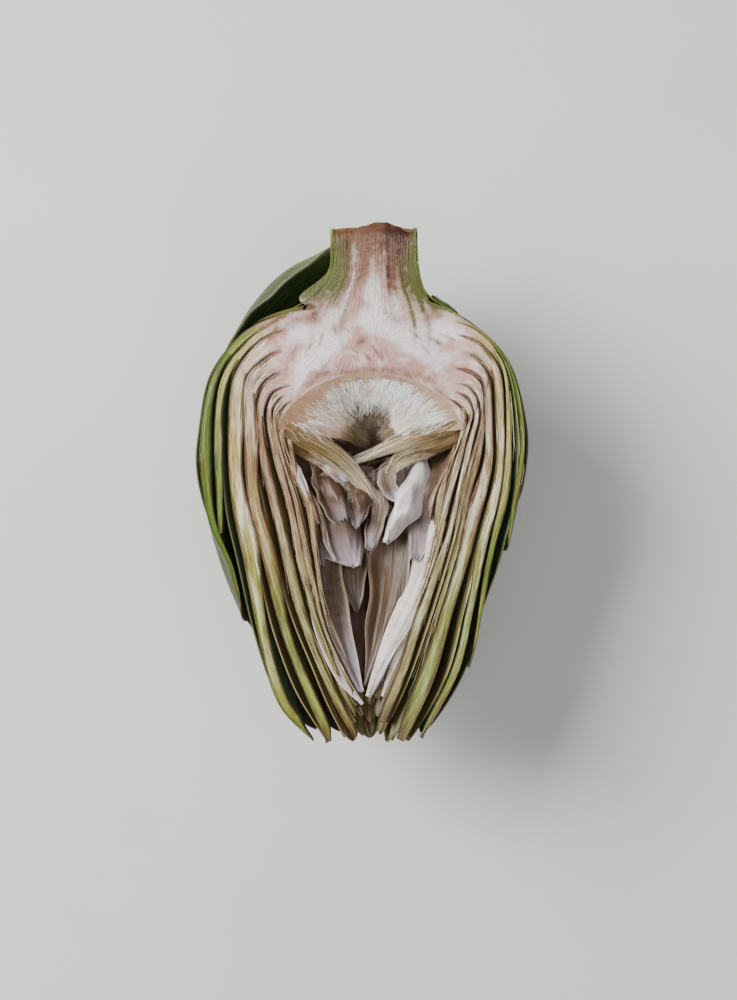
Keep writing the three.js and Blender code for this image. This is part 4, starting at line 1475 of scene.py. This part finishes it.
@dataclass
class StemBracts:
    """The small old bracts low on the stem, which stand off from the head."""

    leaves: tuple[Leaf, ...] = (
        Leaf(((-9.4, 57, -7), (-14, 54.6, -8.8), (-20, 51.6, -10.6), (-26.2, 47, -11.3), (-31.4, 41.2, -11),
             (-35.8, 34.6, -9.6), (-40, 26.6, -5.2)), (5, 8.6, 11.2, 11.6, 10.4, 7.4, 0.6),
             (0.65, -0.65, 0.37), hollow=9.5, thickness=1.3, torn=0.02, wave=0.3),
        Leaf(((16.6, 42.4, -3.4), (19.4, 40.6, -2.4), (22.2, 38.8, -2), (24.6, 37, -2)), (1.6, 2, 1.6, 0.3),
             (-0.3, -0.5, 0.8), hollow=5, thickness=0.7, torn=0.3),
    )
    grid: tuple[int, int] = (60, 40)
    long_mm: float = 45.0  # what their veins' lengths are measured on

    def build(self, skins: Sequence[Material]) -> None:
        """Makes them.

        Args:
            skins: the outer and inner skin and the cut face of the outer bracts.
        """
        rng = np.random.default_rng(12)
        draft = Draft("stem_bracts", LEAF_VALUES)
        for leaf in self.leaves:
            points, q, v, across = leaf.points(rng, *self.grid)
            points[..., 2] = np.minimum(points[..., 2], 0.0)
            add_sheet(
                draft, points, leaf.thickness * (1 - 0.6 * np.abs(v) ** 2.5), (0, 1), share=q, side=v,
                along_mm=q * self.long_mm, across_mm=across, depth=0.02, seed=rng.uniform(),
            )
        mount(draft.finish(skins), Part.GREEN)


# ---- Heart, stem and shoulders ----


@dataclass(frozen=True)
class Stain:
    """A mark on the cut face, fading to its rim."""

    x: float
    y: float
    length: float
    width: float
    angle_deg: float
    strength: float

    def cover(self, x: Array, y: Array) -> Array:
        """How much of the mark lies on each point.

        Args:
            x: the points' place across the head.
            y: their place along it.

        Returns:
            From 0 to `strength`.
        """
        turn = math.radians(self.angle_deg)
        along = (x - self.x) * math.cos(turn) + (y - self.y) * math.sin(turn)
        across = (y - self.y) * math.cos(turn) - (x - self.x) * math.sin(turn)
        return self.strength * np.exp(-((2 * along / self.length) ** 2) - (2 * across / self.width) ** 2)


@dataclass(frozen=True)
class Streak:
    """A stripe of fibres down the stem, at `place` of the way across it (0 left, 1 right)."""

    place: float
    width: float
    top_y: float
    end_y: float
    strength: float

    def cover(self, place: Array, y: Array) -> Array:
        """How much of the stripe lies on each point."""
        fade = ease(y, self.end_y - 7, self.end_y + 7) * ease(y, self.top_y + 2, self.top_y - 1)
        return self.strength * np.exp(-(((place - self.place) / self.width) ** 2)) * fade


@dataclass
class Marks:
    """What colours the cut heart and stem, layer by layer.

    A row of `stains` holds the fields of a Stain, and a row of `streaks` those of a Streak.
    """

    stains: dict[str, Rows] = field(default_factory=lambda: {
        "browned": (
            (2, 61.6, 16, 9, 0, 1.6), (0, 60.5, 24, 4, 0, 0.8), (-15.5, 43, 6, 2, 30, 0.5),
            (-14.6, 38.6, 6, 4, 60, 0.75), (-20.5, 35.6, 10, 3, 28, 0.55), (-26, 33, 5, 1.4, 62, 0.9),
            (-25, 37, 8, 2, 25, 0.5), (17.8, 30.6, 6, 1.2, -28, 0.85), (-2.2, 30.8, 3.4, 1.4, 30, 0.9),
            (-0.6, 26.6, 4.4, 0.9, -50, 0.8), (3.4, 26, 4, 0.9, -70, 0.5), (-1, 40.2, 4, 2.4, -60, 0.5),
            (7, 36.6, 4.4, 3, -40, 0.55), (-6, 22.4, 18, 2.2, 4, 0.7), (8, 22, 16, 2, -8, 0.6),
            (-16, 19, 12, 2.4, 40, 0.6), (18.5, 17.6, 10, 2, -48, 0.55), (-20.2, 28.4, 5, 1.6, 70, 0.6),
            (-27, 35.4, 15, 1.3, 27, 0.9), (-33, 30, 10, 1, 52, 0.7), (29, 34, 13, 1.1, -30, 0.7),
            (-13.2, 31.4, 3.6, 0.8, 75, 0.9), (-16.4, 29, 4.5, 0.7, 60, 0.8), (-9.6, 34, 3, 0.8, 110, 0.6),
            (-5, 28.4, 5, 0.5, -20, 0.6), (-4, 26.2, 3.6, 0.5, -35, 0.7), (1.4, 28.2, 3.6, 0.6, -55, 0.8),
            (12.4, 32.4, 5, 0.8, -35, 0.6), (15, 28.6, 4, 0.7, -50, 0.5), (21.5, 31.6, 6, 0.9, -24, 0.7),
            (-22.6, 23, 4, 0.7, 80, 0.6),
        ),
        "greened": (
            (-15, 46.6, 8, 2.2, 36, 0.9), (-17.2, 44.2, 5.5, 4, 40, 0.9), (-11.6, 50.5, 9, 4.5, 68, 0.8),
            (13.6, 47, 9, 2.6, -72, 0.9), (16.6, 41.5, 6, 1.4, -50, 0.7),
        ),
        # The darkened mark at (-17, 39.8) fills the pit: painted shade in that hole.
        "darkened": (
            (2, 62.6, 28, 7, 0, 0.65), (6, 59.6, 5.5, 1.6, -20, 0.9), (10.5, 60.4, 4, 2.2, 10, 0.7),
            (3.4, 57, 2.4, 1.8, 30, 0.55), (-17, 39.8, 3.6, 1.1, 4, 1.5), (-1, 26.4, 2.6, 0.6, -50, 0.5),
        ),
        "pinkened": (
            (-12, 23.5, 20, 7, 22, 1), (0, 25, 16, 8, 0, 0.9), (13, 23.5, 18, 7, -28, 0.9),
            (-24, 27, 9, 9, 60, 0.7), (25, 25, 9, 8, -60, 0.8), (-1.5, 40, 8, 5, 90, 0.4),
            (8, 37, 6, 5, 90, 0.4),
        ),
        "whitened": (
            (-13, 27.5, 22, 6, 38, 1), (-16, 42.6, 8, 3, 35, 1), (-19, 33, 9, 8, 40, 0.8),
            (12, 30.5, 22, 8, -32, 1), (21, 33.5, 14, 5, -20, 0.9), (2.5, 35.5, 7, 3, 0, 0.9),
            (0.5, 43, 16, 5, 90, 0.9), (6.5, 40, 8, 3, 90, 0.7), (-11, 36, 12, 5, 60, 0.7),
            (-19, 20, 9, 2, 70, 0.7),
        ),
    })
    streaks: dict[str, Rows] = field(default_factory=lambda: {
        "greened": (
            (0.05, 0.11, 68, 45, 1.7), (-0.04, 0.1, 68, 42, 1.2), (0.17, 0.06, 66, 41, 1.15),
            (0.29, 0.025, 58, 31, 0.5), (0.8, 0.02, 62, 32, 0.9), (0.88, 0.1, 66, 41, 1.2),
            (0.99, 0.05, 68, 40, 1.3), (0.9, 0.02, 50, 29, 0.5),
        ),
        "darkened": (
            (0.18, 0.02, 58, 52, 0.7), (0.655, 0.02, 68, 43, 1.1), (0.76, 0.07, 68, 52, 0.75),
            (0.84, 0.07, 66, 46, 0.4), (0.965, 0.015, 60, 42, 0.5),
        ),
        "browned": (
            (0.12, 0.05, 66, 51, 0.5), (0.22, 0.03, 66, 42, 0.5), (0.35, 0.055, 66, 46, 1),
            (0.43, 0.04, 66, 50, 0.5), (0.56, 0.12, 62, 48, 0.35), (0.7, 0.06, 68, 44, 1.1),
            (0.85, 0.04, 68, 50, 0.5), (0.5, 0.3, 66, 44, 0.3),
        ),
        "whitened": (
            (0.5, 0.7, 70, 49, -0.45), (0.27, 0.03, 58, 40, 0.7), (0.5, 0.07, 50, 34, 0.3),
        ),
    })
    stem_sides: tuple[float, float] = (-10.4, 12.9)  # x
    heart_spread: tuple[float, float] = (-8.5, 7.0)  # how much wider the stripes lie in the heart

    def place(self, x: Array, y: Array) -> Array:
        """How far across the stem points lie, spreading into the heart.

        Args:
            x: the points' place across the head.
            y: their place along it.

        Returns:
            0 on the stem's left side to 1 on its right.
        """
        spread = ease(y, 51, 33)
        left, right = (side + more * spread for side, more in zip(self.stem_sides, self.heart_spread))
        return (x - left) / (right - left)

    def paint(self, x: Array, y: Array) -> dict[str, Array]:
        """The colour layers of the cut face.

        Args:
            x: millimetres to the right of the head's axis.
            y: millimetres along it.

        Returns:
            One array for each layer.
        """
        layers = {name: sum(Stain(*row).cover(x, y) for row in rows) for name, rows in self.stains.items()}
        for name, rows in self.streaks.items():
            for row in rows:
                layers[name] = layers[name] + Streak(*row).cover(self.place(x, y), y)
        return layers


@dataclass
class Heart:
    """The heart and stem as one cut face with flesh under it, and the shoulders that the bracts grow from."""

    left_edge: Line = (
        (-10.4, 61), (-10.5, 57.5), (-10.2, 54), (-10.8, 51.2), (-12, 48.8), (-14.2, 46.8), (-16.7, 45),
        (-18.7, 43.3), (-19, 41.8), (-17.5, 40.5),
    )
    right_edge: Line = (
        (12.9, 60.6), (12.9, 57), (13, 54.5), (13.2, 52), (13.5, 49.6), (13.9, 47.4), (14.5, 45.4),
        (15.1, 43.8), (15.6, 42.6), (16, 41.5),
    )
    marks: Marks = field(default_factory=Marks)
    pit: Stain = Stain(-17.0, 39.8, 3.4, 1.1, 4, 2.4)  # the hole left of the stem's foot, its depth last
    fan_y: float = 42.0  # where the fibres of the stem start to fan out over the heart
    floor_top_y: float = 21.9
    rim_share: float = 0.36  # how far along the flow lines the shoulders reach
    stem_rows: int = 60
    depth_rows: int = 136
    core_columns: int = 130
    shoulder_columns: int = 60
    level_z: float = -0.14  # how far under the cut face the flesh lies, on average
    slab: float = 0.7

    def edge_at(self, row: int) -> tuple[Array, Array]:
        """Where one row across the core ends.

        Args:
            row: its number, from the stem's end to the choke.

        Returns:
            Its left and its right end as (x, y).
        """
        if row < self.stem_rows:
            t = np.array([row / self.stem_rows])
            return along_line(self.left_edge, t)[0], along_line(self.right_edge, t)[0]
        depth = (row - self.stem_rows) / self.depth_rows
        (left, left_y), (right, right_y) = (GROWTH.line(azimuth, depth, 0.0) for azimuth in (-90, 90))
        return np.array([-float(left), float(left_y)]), np.array([float(right), float(right_y)])

    def core_grid(self) -> Array:
        """The core's outline on the cut face, filled with points.

        Returns:
            The points, rows from the stem's end to the choke.
        """
        t = even(self.core_columns)
        points = np.zeros((self.stem_rows + self.depth_rows + 1, len(t), 3))
        for row in range(len(points)):
            left, right = self.edge_at(row)
            line = left + (right - left) * t[:, None]
            depth = max(0.0, (row - self.stem_rows) / self.depth_rows)
            bulge = (self.floor_top_y - (left[1] + right[1]) / 2) * depth**3 + 1.5 * math.sin(math.pi * depth)
            line[:, 1] += bulge * (1 - (2 * t - 1) ** 2) ** 0.85
            worn = math.exp(-((row / 5) ** 2))
            arched = 2.2 * np.exp(-(((t - 0.58) / 0.24) ** 2))
            line[:, 1] += worn * (arched + 0.10 * np.sin(t * 41) - 0.5 * t**6)
            points[row, :, :2] = line
        return points

    def build(self, cut: Material, signs: CutSigns) -> None:
        """Makes the cut face with its shoulders.

        Args:
            cut: the finish of everything that the knife went through.
            signs: for each side and level, the seed and tone of the bract that grows there.
        """
        draft = Draft("heart_cut_face", CutFace.VALUES)
        core = self.core_grid()
        relief = Ripple(np.random.default_rng(5), 7, 3.0)
        x, y = core[..., 0], core[..., 1]
        core[..., 2] = 0.12 * relief(x / 30, y / 30) + self.level_z - self.pit.cover(x, y)
        core[..., 2] -= 0.5 * np.exp(-((np.arange(len(core))[:, None] / 3) ** 2))
        fanned = ease(y, 38, 31)
        fan = np.degrees(np.arctan2(x, np.maximum(self.fan_y - y, 1))) * 0.3
        side = even(self.core_columns)
        inset = np.minimum(side, side[::-1])[None, :]
        inside = np.maximum(ease(inset, 0.0, 0.08), ease(y, 41, 44))
        values = self.marks.paint(x, y)
        values.update(
            along_mm=lerp(62 - y, 20 + np.hypot(x, self.fan_y - y), fanned) + 60,
            across_mm=lerp((self.marks.place(x, y) - 0.5) * 23, fan, fanned),
            seed=0.3,
            core=1.0,
            fibrous=lerp(0.65, 1.0, ease(y, 32, 44)) * ease(y, 61.4, 57.4) * inside,
        )
        top = draft.add_points(core, **values)
        bottom = draft.add_points(core - (0, 0, self.slab), **values)
        draft.add_shell(top, bottom, sides=())
        for side, column in ((-1, 0), (1, -1)):
            self.add_shoulder(draft, side, top[:, column], bottom[:, column], relief, signs)
        mount(draft.finish([cut]), Part.HEART)

    def add_shoulder(
        self, draft: Draft, side: int, top_edge: Array, bottom_edge: Array, relief: Ripple, signs: CutSigns
    ) -> None:
        """Adds one shoulder, whose flesh drops away between the bracts as they part.

        Args:
            draft: the cut face.
            side: -1 on the left, 1 on the right.
            top_edge: the point numbers where the shoulder meets the core.
            bottom_edge: those on the core's underside.
            relief: the cut face's relief.
            signs: for each side and level, the seed and tone of the bract that grows there.
        """
        share = even(self.shoulder_columns, 0, self.rim_share)[None, 1:]
        depth = even(self.depth_rows)[:, None]
        depth = lerp(0.06 * ease(share, 0.04, 0.16), 1.0, depth)
        radius, y = GROWTH.line(side * 90, depth, share)
        x = side * radius
        level = depth * LEVEL_SPAN - 0.5
        through = level - np.floor(level)
        near = np.minimum(through, 1 - through)
        parting = 0.115 + 0.02 * np.sin(np.round(level) * 2.4 + side)
        groove = 0.45 * ease(share, parting - 0.06, parting + 0.01)
        groove = groove + 3.0 * ease(share, parting + 0.02, 0.32)
        groove = groove * np.exp(-((near / lerp(0.09, 0.18, ease(share, 0.1, 0.3))) ** 2))
        outer = ease(depth, 0.65, 0.15)
        fall = lerp(2.6, 6.5, outer) * ease(share, 0.21 - 0.03 * outer, self.rim_share - 0.05 * outer)
        z = self.level_z - groove - fall + 0.07 * relief(x / 30, y / 30)
        tucked = side * (np.sqrt(np.maximum(radius**2 - z**2, 0)) - 0.5 * ease(-z, 1.5, 5.0))
        points = np.stack(np.broadcast_arrays(tucked, y, z), axis=-1)
        values = self.marks.paint(x, y)
        values["greened"] = values["greened"] + 1.2 * ease(depth, 0.10, 0.02)
        # Along each groove the flesh is browned for the bracts' skins that meet there, and darkened towards
        # the groove's bottom as painted shade.
        values["browned"] = values["browned"] + 1.2 * ease(groove, 0.01, 0.16)
        values["darkened"] = values["darkened"] + ease(groove, 0.12, 0.7)
        owner = np.floor(level).astype(int)
        sign = np.array([[signs.get((side, k), (0.3, 0.5)) for k in row] for row in owner])
        values.update(
            seed=sign[..., 0],
            tone=sign[..., 1],
            share=share,
            along_mm=share * LINE_MM,
            across_mm=through * 3.4,
            through=through,
            depth=depth,
            core=1 - ease(share + 0.03 * relief(x / 12, y / 12), 0.06, 0.17),
        )
        top = draft.add_points(points, **values)
        bottom = draft.add_points(points - (0, 0, self.slab), **values)
        heart_top, heart_bottom = (edge[self.stem_rows :, None] for edge in (top_edge, bottom_edge))
        draft.add_shell(np.hstack([heart_top, top]), np.hstack([heart_bottom, bottom]), sides=(-1,))
        stem = slice(0, self.stem_rows + 1)
        draft.add_grid(np.stack([top_edge[stem], bottom_edge[stem]], axis=1))


@dataclass
class HeartBack:
    """The half round body of the heart and stem under the cut face, solid down to the floor of the choke."""

    inner_line: Line = ((0, 21.6), (6, 20.8), (12, 18.4), (17.5, 14), (20.4, 11), (23, 9.0))
    outer_line: Line = (
        (0, 61.6), (6, 61.4), (10.2, 61), (10.9, 60.2), (10.95, 56), (10.95, 51), (12, 46.8), (15, 42.8),
        (18.5, 38), (22.2, 32), (24, 25), (24.3, 17), (23.8, 10.5),
    )
    steps: int = 60
    around: int = 72
    below: float = 0.5  # how far under the cut face it ends

    def build(self, flesh: Material) -> None:
        """Makes it.

        Args:
            flesh: its finish.
        """
        azimuth = even(self.around, -90, 90)[None, :]
        draft = Draft("heart_back", GRAIN_VALUES)
        shells = []
        for line in (self.outer_line, self.inner_line):
            route = along_line(line, even(self.steps))
            points = leant(placed(azimuth, route[:, :1], route[:, 1:])) - (0, 0, self.below)
            shells.append(draft.add_points(points, along_mm=route[:, 1:], across_mm=azimuth * 0.25))
        draft.add_shell(*shells)
        mount(draft.finish([flesh], merge=True), Part.HEART)


def leant(points: Array) -> Array:
    """The points, with those of the stem moved over to where it stands."""
    lean = STEM_LEAN_X * ease(points[..., 1], 38, 52)
    return points + lean[..., None] * (1, 0, 0)


@dataclass
class Rind:
    """The green skin of the stem, which runs out over the shoulder under the bracts."""

    outline: Line = (
        (11.6, 61), (11.7, 56), (11.7, 52), (12.6, 47.8), (14.6, 44.6), (17.4, 41.8), (21.5, 39.4),
        (25.5, 37),
    )
    steps: int = 60
    around: int = 130
    thickness: float = 0.5
    ribs: int = 13
    rib_height: float = 0.22
    worn: float = 0.5  # how uneven its cut end is
    below: float = 0.04  # how far under the cut face it ends

    def build(self, skin: Material) -> None:
        """Makes it as a thin half round shell with shallow ribs.

        Args:
            skin: its finish.
        """
        route = along_line(self.outline, even(self.steps))
        r, y = route[:, :1], route[:, 1:]
        azimuth = even(self.around, -90, 90)[None, :]
        around = np.radians(azimuth)
        rib = self.rib_height * np.cos(around * self.ribs * 2 + 0.8 * np.sin(y * 0.2)) * ease(y, 40, 47)
        worn = self.worn * np.sin(around * 5 + 1) * ease(y, 57, 61)
        draft = Draft("stem_rind", GRAIN_VALUES)
        shells = []
        for inset in (0.0, self.thickness):
            points = leant(placed(azimuth, r + rib - inset, y + worn))
            points[..., 2] = np.minimum(points[..., 2], -self.below)
            shells.append(draft.add_points(points, along_mm=y, across_mm=azimuth * 0.2))
        draft.add_shell(*shells)
        mount(draft.finish([skin]), Part.GREEN)


@dataclass
class Choke:
    """The choke: a felt of tan fluff, hollow in the middle, with stiff pale hairs on it."""

    arc: Line = (
        (-25, 7), (-23.6, 10.2), (-21.4, 13.2), (-18.4, 15.9), (-14.5, 18.5), (-10, 20.6), (-5, 21.9),
        (0, 22.3), (5, 22.1), (10, 20.9), (15, 18.6), (18.8, 15.9), (22, 12.8), (24.2, 9.8), (25.4, 7),
    )
    focus: tuple[float, float] = (0.6, 3.0)  # where the hairs point
    rim: float = 0.55  # how far under the cut face the felt starts
    slope: float = 2.4  # how far it falls evenly
    hollow: float = 14.0  # how far it drops in the middle
    rings: int = 44
    around: int = 220
    felt_end: float = 0.96
    hairs: int = 4800
    hairs_in_tuft: int = 12
    longest: float = 8.0
    shortest: float = 4.0
    root_radius: float = 0.07
    tip_radius: float = 0.02
    highest: float = 0.3  # how far a hair stands over the cut face at most

    @staticmethod
    def depth_in(a: Array, s: Array) -> Array:
        """How far into the hollow a point lies: its two sides stay shallow for longer than its top."""
        return s * (1 - 0.42 * ease(np.abs(2 * a - 1), 0.1, 0.7) * ease(s, 0.96, 0.6))

    def felt(self, a: Array, s: Array) -> Array:
        """Points of the felt.

        Args:
            a: how far round the arc, from 0 to 1.
            s: how far from the arc to the middle.

        Returns:
            The points.
        """
        edge = along_line(self.arc, a)
        flat = lerp(edge, np.array(self.focus), s[..., None])
        h = self.depth_in(a, s)
        z = -self.rim - self.slope * h - self.hollow * ease(h, 0.36, 0.9)
        return np.concatenate([flat, z[..., None]], axis=-1)

    def build(self, fluff: Material, hair: Material) -> None:
        """Makes the felt and the hairs.

        Args:
            fluff: the felt's finish.
            hair: the hairs' finish.
        """
        rng = np.random.default_rng(17)
        a, s = np.meshgrid(even(self.around), even(self.rings, 0, self.felt_end), indexing="ij")
        points = self.felt(a, s)
        tuft = Ripple(rng, 12, 26.0)(a, s * 0.12) * 0.5 + Ripple(rng, 12, 60.0)(a, s * 0.1) * 0.3
        points[..., 2] += tuft * (0.35 + 0.8 * ease(s, 0.3, 0.8)) * ease(s, 0, 0.08)
        draft = Draft("choke_felt", LEAF_VALUES)
        # Painted shade: tone runs from 0 at the arc's left end to 1 at its right, so the felt is dull on its
        # shaded left side.
        add_sheet(
            draft, points.transpose(1, 0, 2), 0.5, (0, 0), share=self.depth_in(a, s).T, along_mm=s.T * 20,
            across_mm=a.T * 60, seed=0.4, tone=a.T,
        )
        mount(draft.finish([fluff]), Part.CHOKE)
        self.build_hairs(hair, rng)

    def build_hairs(self, hair: Material, rng: np.random.Generator) -> None:
        """Makes the hairs, in tufts that lean together.

        Args:
            hair: their finish.
            rng: draws where each one stands and how it leans.
        """
        count = self.hairs
        tufts = count // self.hairs_in_tuft
        tuft = rng.integers(0, tufts, count)
        tuft_a = 0.94 * rng.uniform(0.01, 0.98, tufts) ** 0.75
        tuft_s = rng.uniform(0, 1, tufts) ** 1.5 * 0.5 + 0.05 * ease(tuft_a, 0.55, 0.2)
        lean = rng.normal(0, 0.26, tufts)
        a = np.clip(tuft_a[tuft] + rng.normal(0, 0.008, count), 0.01, 0.99)
        s = np.clip(tuft_s[tuft] + rng.normal(0, 0.02, count), 0.0, 0.6)
        s = s * (1 + 0.55 * ease(np.abs(2 * a - 1), 0.1, 0.7))
        h = self.depth_in(a, s)
        root = self.felt(a, s)
        length = (rng.uniform(self.shortest, self.longest, count) * (1 - 0.4 * s))[:, None]
        way = unit(np.array(self.focus) - root[:, :2])
        turn = lean[tuft] + rng.normal(0, 0.17, count)
        x = way[:, 0] * np.cos(turn) - way[:, 1] * np.sin(turn)
        y = way[:, 0] * np.sin(turn) + way[:, 1] * np.cos(turn)
        t = np.array([0, 0.34, 0.68, 1.0])[None, :]
        slope = -4.4 * ease(h, 0.15, 0.5)[:, None] * t
        rise = rng.uniform(-0.6, 0.9, count)[:, None] * t + rng.normal(0, 0.4, count)[:, None] * t**2
        height = np.minimum(root[:, 2:] + slope + rise + 0.1, self.highest)
        out_x, out_y = (way[:, None] * length * t for way in (x, y))
        spine = np.stack([root[:, :1] + out_x, root[:, 1:2] + out_y, height], axis=-1)
        radius = lerp(self.root_radius, self.tip_radius, t)[..., None]
        across = np.stack([-y, x, np.zeros(count)], axis=1)[:, None, :]
        up = np.array([0.0, 0.0, 1.0])
        corners = [2 * math.pi * k / 3 + 0.5 for k in range(3)]
        ring = [spine + (across * math.cos(c) + up * math.sin(c)) * radius for c in corners]
        points = np.stack(ring, axis=2)
        # Painted shade: hairs on the left get a random tone down to dull tan while those on the right stay
        # white, and all darken down in the hollow.
        white = lerp(rng.uniform(0, 1, count), rng.uniform(0.9, 1, count), ease(a, 0.4, 0.62))
        tone = np.clip(white - 1.1 * ease(h, 0.20, 0.38), 0, 1)[:, None, None]
        draft = Draft("choke_hairs", LEAF_VALUES)
        t = t[..., None]
        draft.add_tube(draft.add_points(points, tone=tone, share=t, along_mm=t * 6, seed=0.2))
        mount(draft.finish([hair]), Part.CHOKE)


# ---- Camera, light and floor ----


@dataclass(frozen=True)
class Lamp:
    """One soft square light that faces the object."""

    name: str
    place: tuple[float, float, float]  # metres
    size: float  # metres
    watts: float

    def build(self) -> None:
        """Makes it."""
        data = bpy.data.lights.new(self.name, "AREA")
        data.shape, data.size, data.energy = "SQUARE", self.size, self.watts
        lamp = bpy.data.objects.new(self.name, data)
        lamp.location = self.place
        lamp.rotation_mode = "QUATERNION"
        lamp.rotation_quaternion = (-lamp.location.normalized()).to_track_quat("-Z", "Y")
        bpy.context.scene.collection.objects.link(lamp)


@dataclass
class Studio:
    """A pale floor, soft light from the left and a camera that looks straight down."""

    view_long_mm: float = 270.0  # what the picture's long side takes in at the cut face
    view_centre: tuple[float, float] = (-0.4, -12.2)
    lens: float = 85.0
    sensor: float = 36.0
    floor_half: float = 1500.0
    lamps: tuple[Lamp, ...] = (
        Lamp("window_left", (-0.90, 0.45, 0.80), 0.75, 34.0),
        Lamp("fill_above", (0.3, -0.2, 1.5), 1.2, 8.0),
    )
    sky: str = "e9ecef"
    sky_strength: float = 0.30

    def build_camera(self) -> None:
        """Makes the camera."""
        data = bpy.data.cameras.new("camera")
        data.lens, data.sensor_width = self.lens, self.sensor
        data.clip_start, data.clip_end = 0.01, 10.0
        camera = bpy.data.objects.new("camera", data)
        away = self.view_long_mm * self.lens / self.sensor
        camera.location = (self.view_centre[0] * MM, self.view_centre[1] * MM, (AXIS_HEIGHT + away) * MM)
        bpy.context.scene.collection.objects.link(camera)
        bpy.context.scene.camera = camera

    def build_floor(self) -> None:
        """Makes the floor: board with a matt coat, hardly mottled, so that it takes only the soft shadow."""
        draft = Draft("floor", ())
        ends = np.array((-self.floor_half, self.floor_half))
        x, y = np.meshgrid(ends, ends)
        draft.add_grid(draft.add_points(np.stack([x, y, np.full_like(x, -AXIS_HEIGHT)], axis=-1)))
        p = Palette("matt_pale_board")
        shade = p.coat("d9d8d4", "dfdeda", 1.0, p.cloud(90.0), 0.3, 0.7)
        draft.finish([p.finish(p.add(Node.SHADER, Base_Color=shade, Roughness=0.8))])

    def build(self) -> None:
        """Makes all of it."""
        self.build_camera()
        self.build_floor()
        for lamp in self.lamps:
            lamp.build()
        world = bpy.data.worlds.new("studio")
        world.use_nodes = True
        background = world.node_tree.nodes["Background"].inputs
        background["Color"].default_value = linear(self.sky)
        background["Strength"].default_value = self.sky_strength
        bpy.context.scene.world = world


def main() -> None:
    """Builds the half artichoke, piece by piece."""
    logging.basicConfig(level=logging.INFO, format="%(message)s")
    Studio().build()
    cut = CutFace().material()
    green = (GREEN_OUTSIDE.material(), GREEN_INSIDE_PAINTED_SHADE.material(), cut)
    pale = (PALE_OUTSIDE.material(), PALE_INSIDE.material(), cut)
    signs = HeadOfBracts().build({Part.GREEN: green, Part.PALE: pale})
    Heart().build(cut, signs)
    HeartBack().build(STEM_END.material())
    Rind().build(STEM_RIND.material())
    Choke().build(CHOKE_FELT.material(), CHOKE_HAIR.material())
    fibre = LOOSE_FIBRE.material()
    CavityLeaves().build(FIBRE_CURTAIN.material(), fibre, MAUVE_LEAF.material(), WHITE_LEAF.material())
    KnifeFibres().build(fibre)
    StemBracts().build(green)


if __name__ == "__main__":
    main()
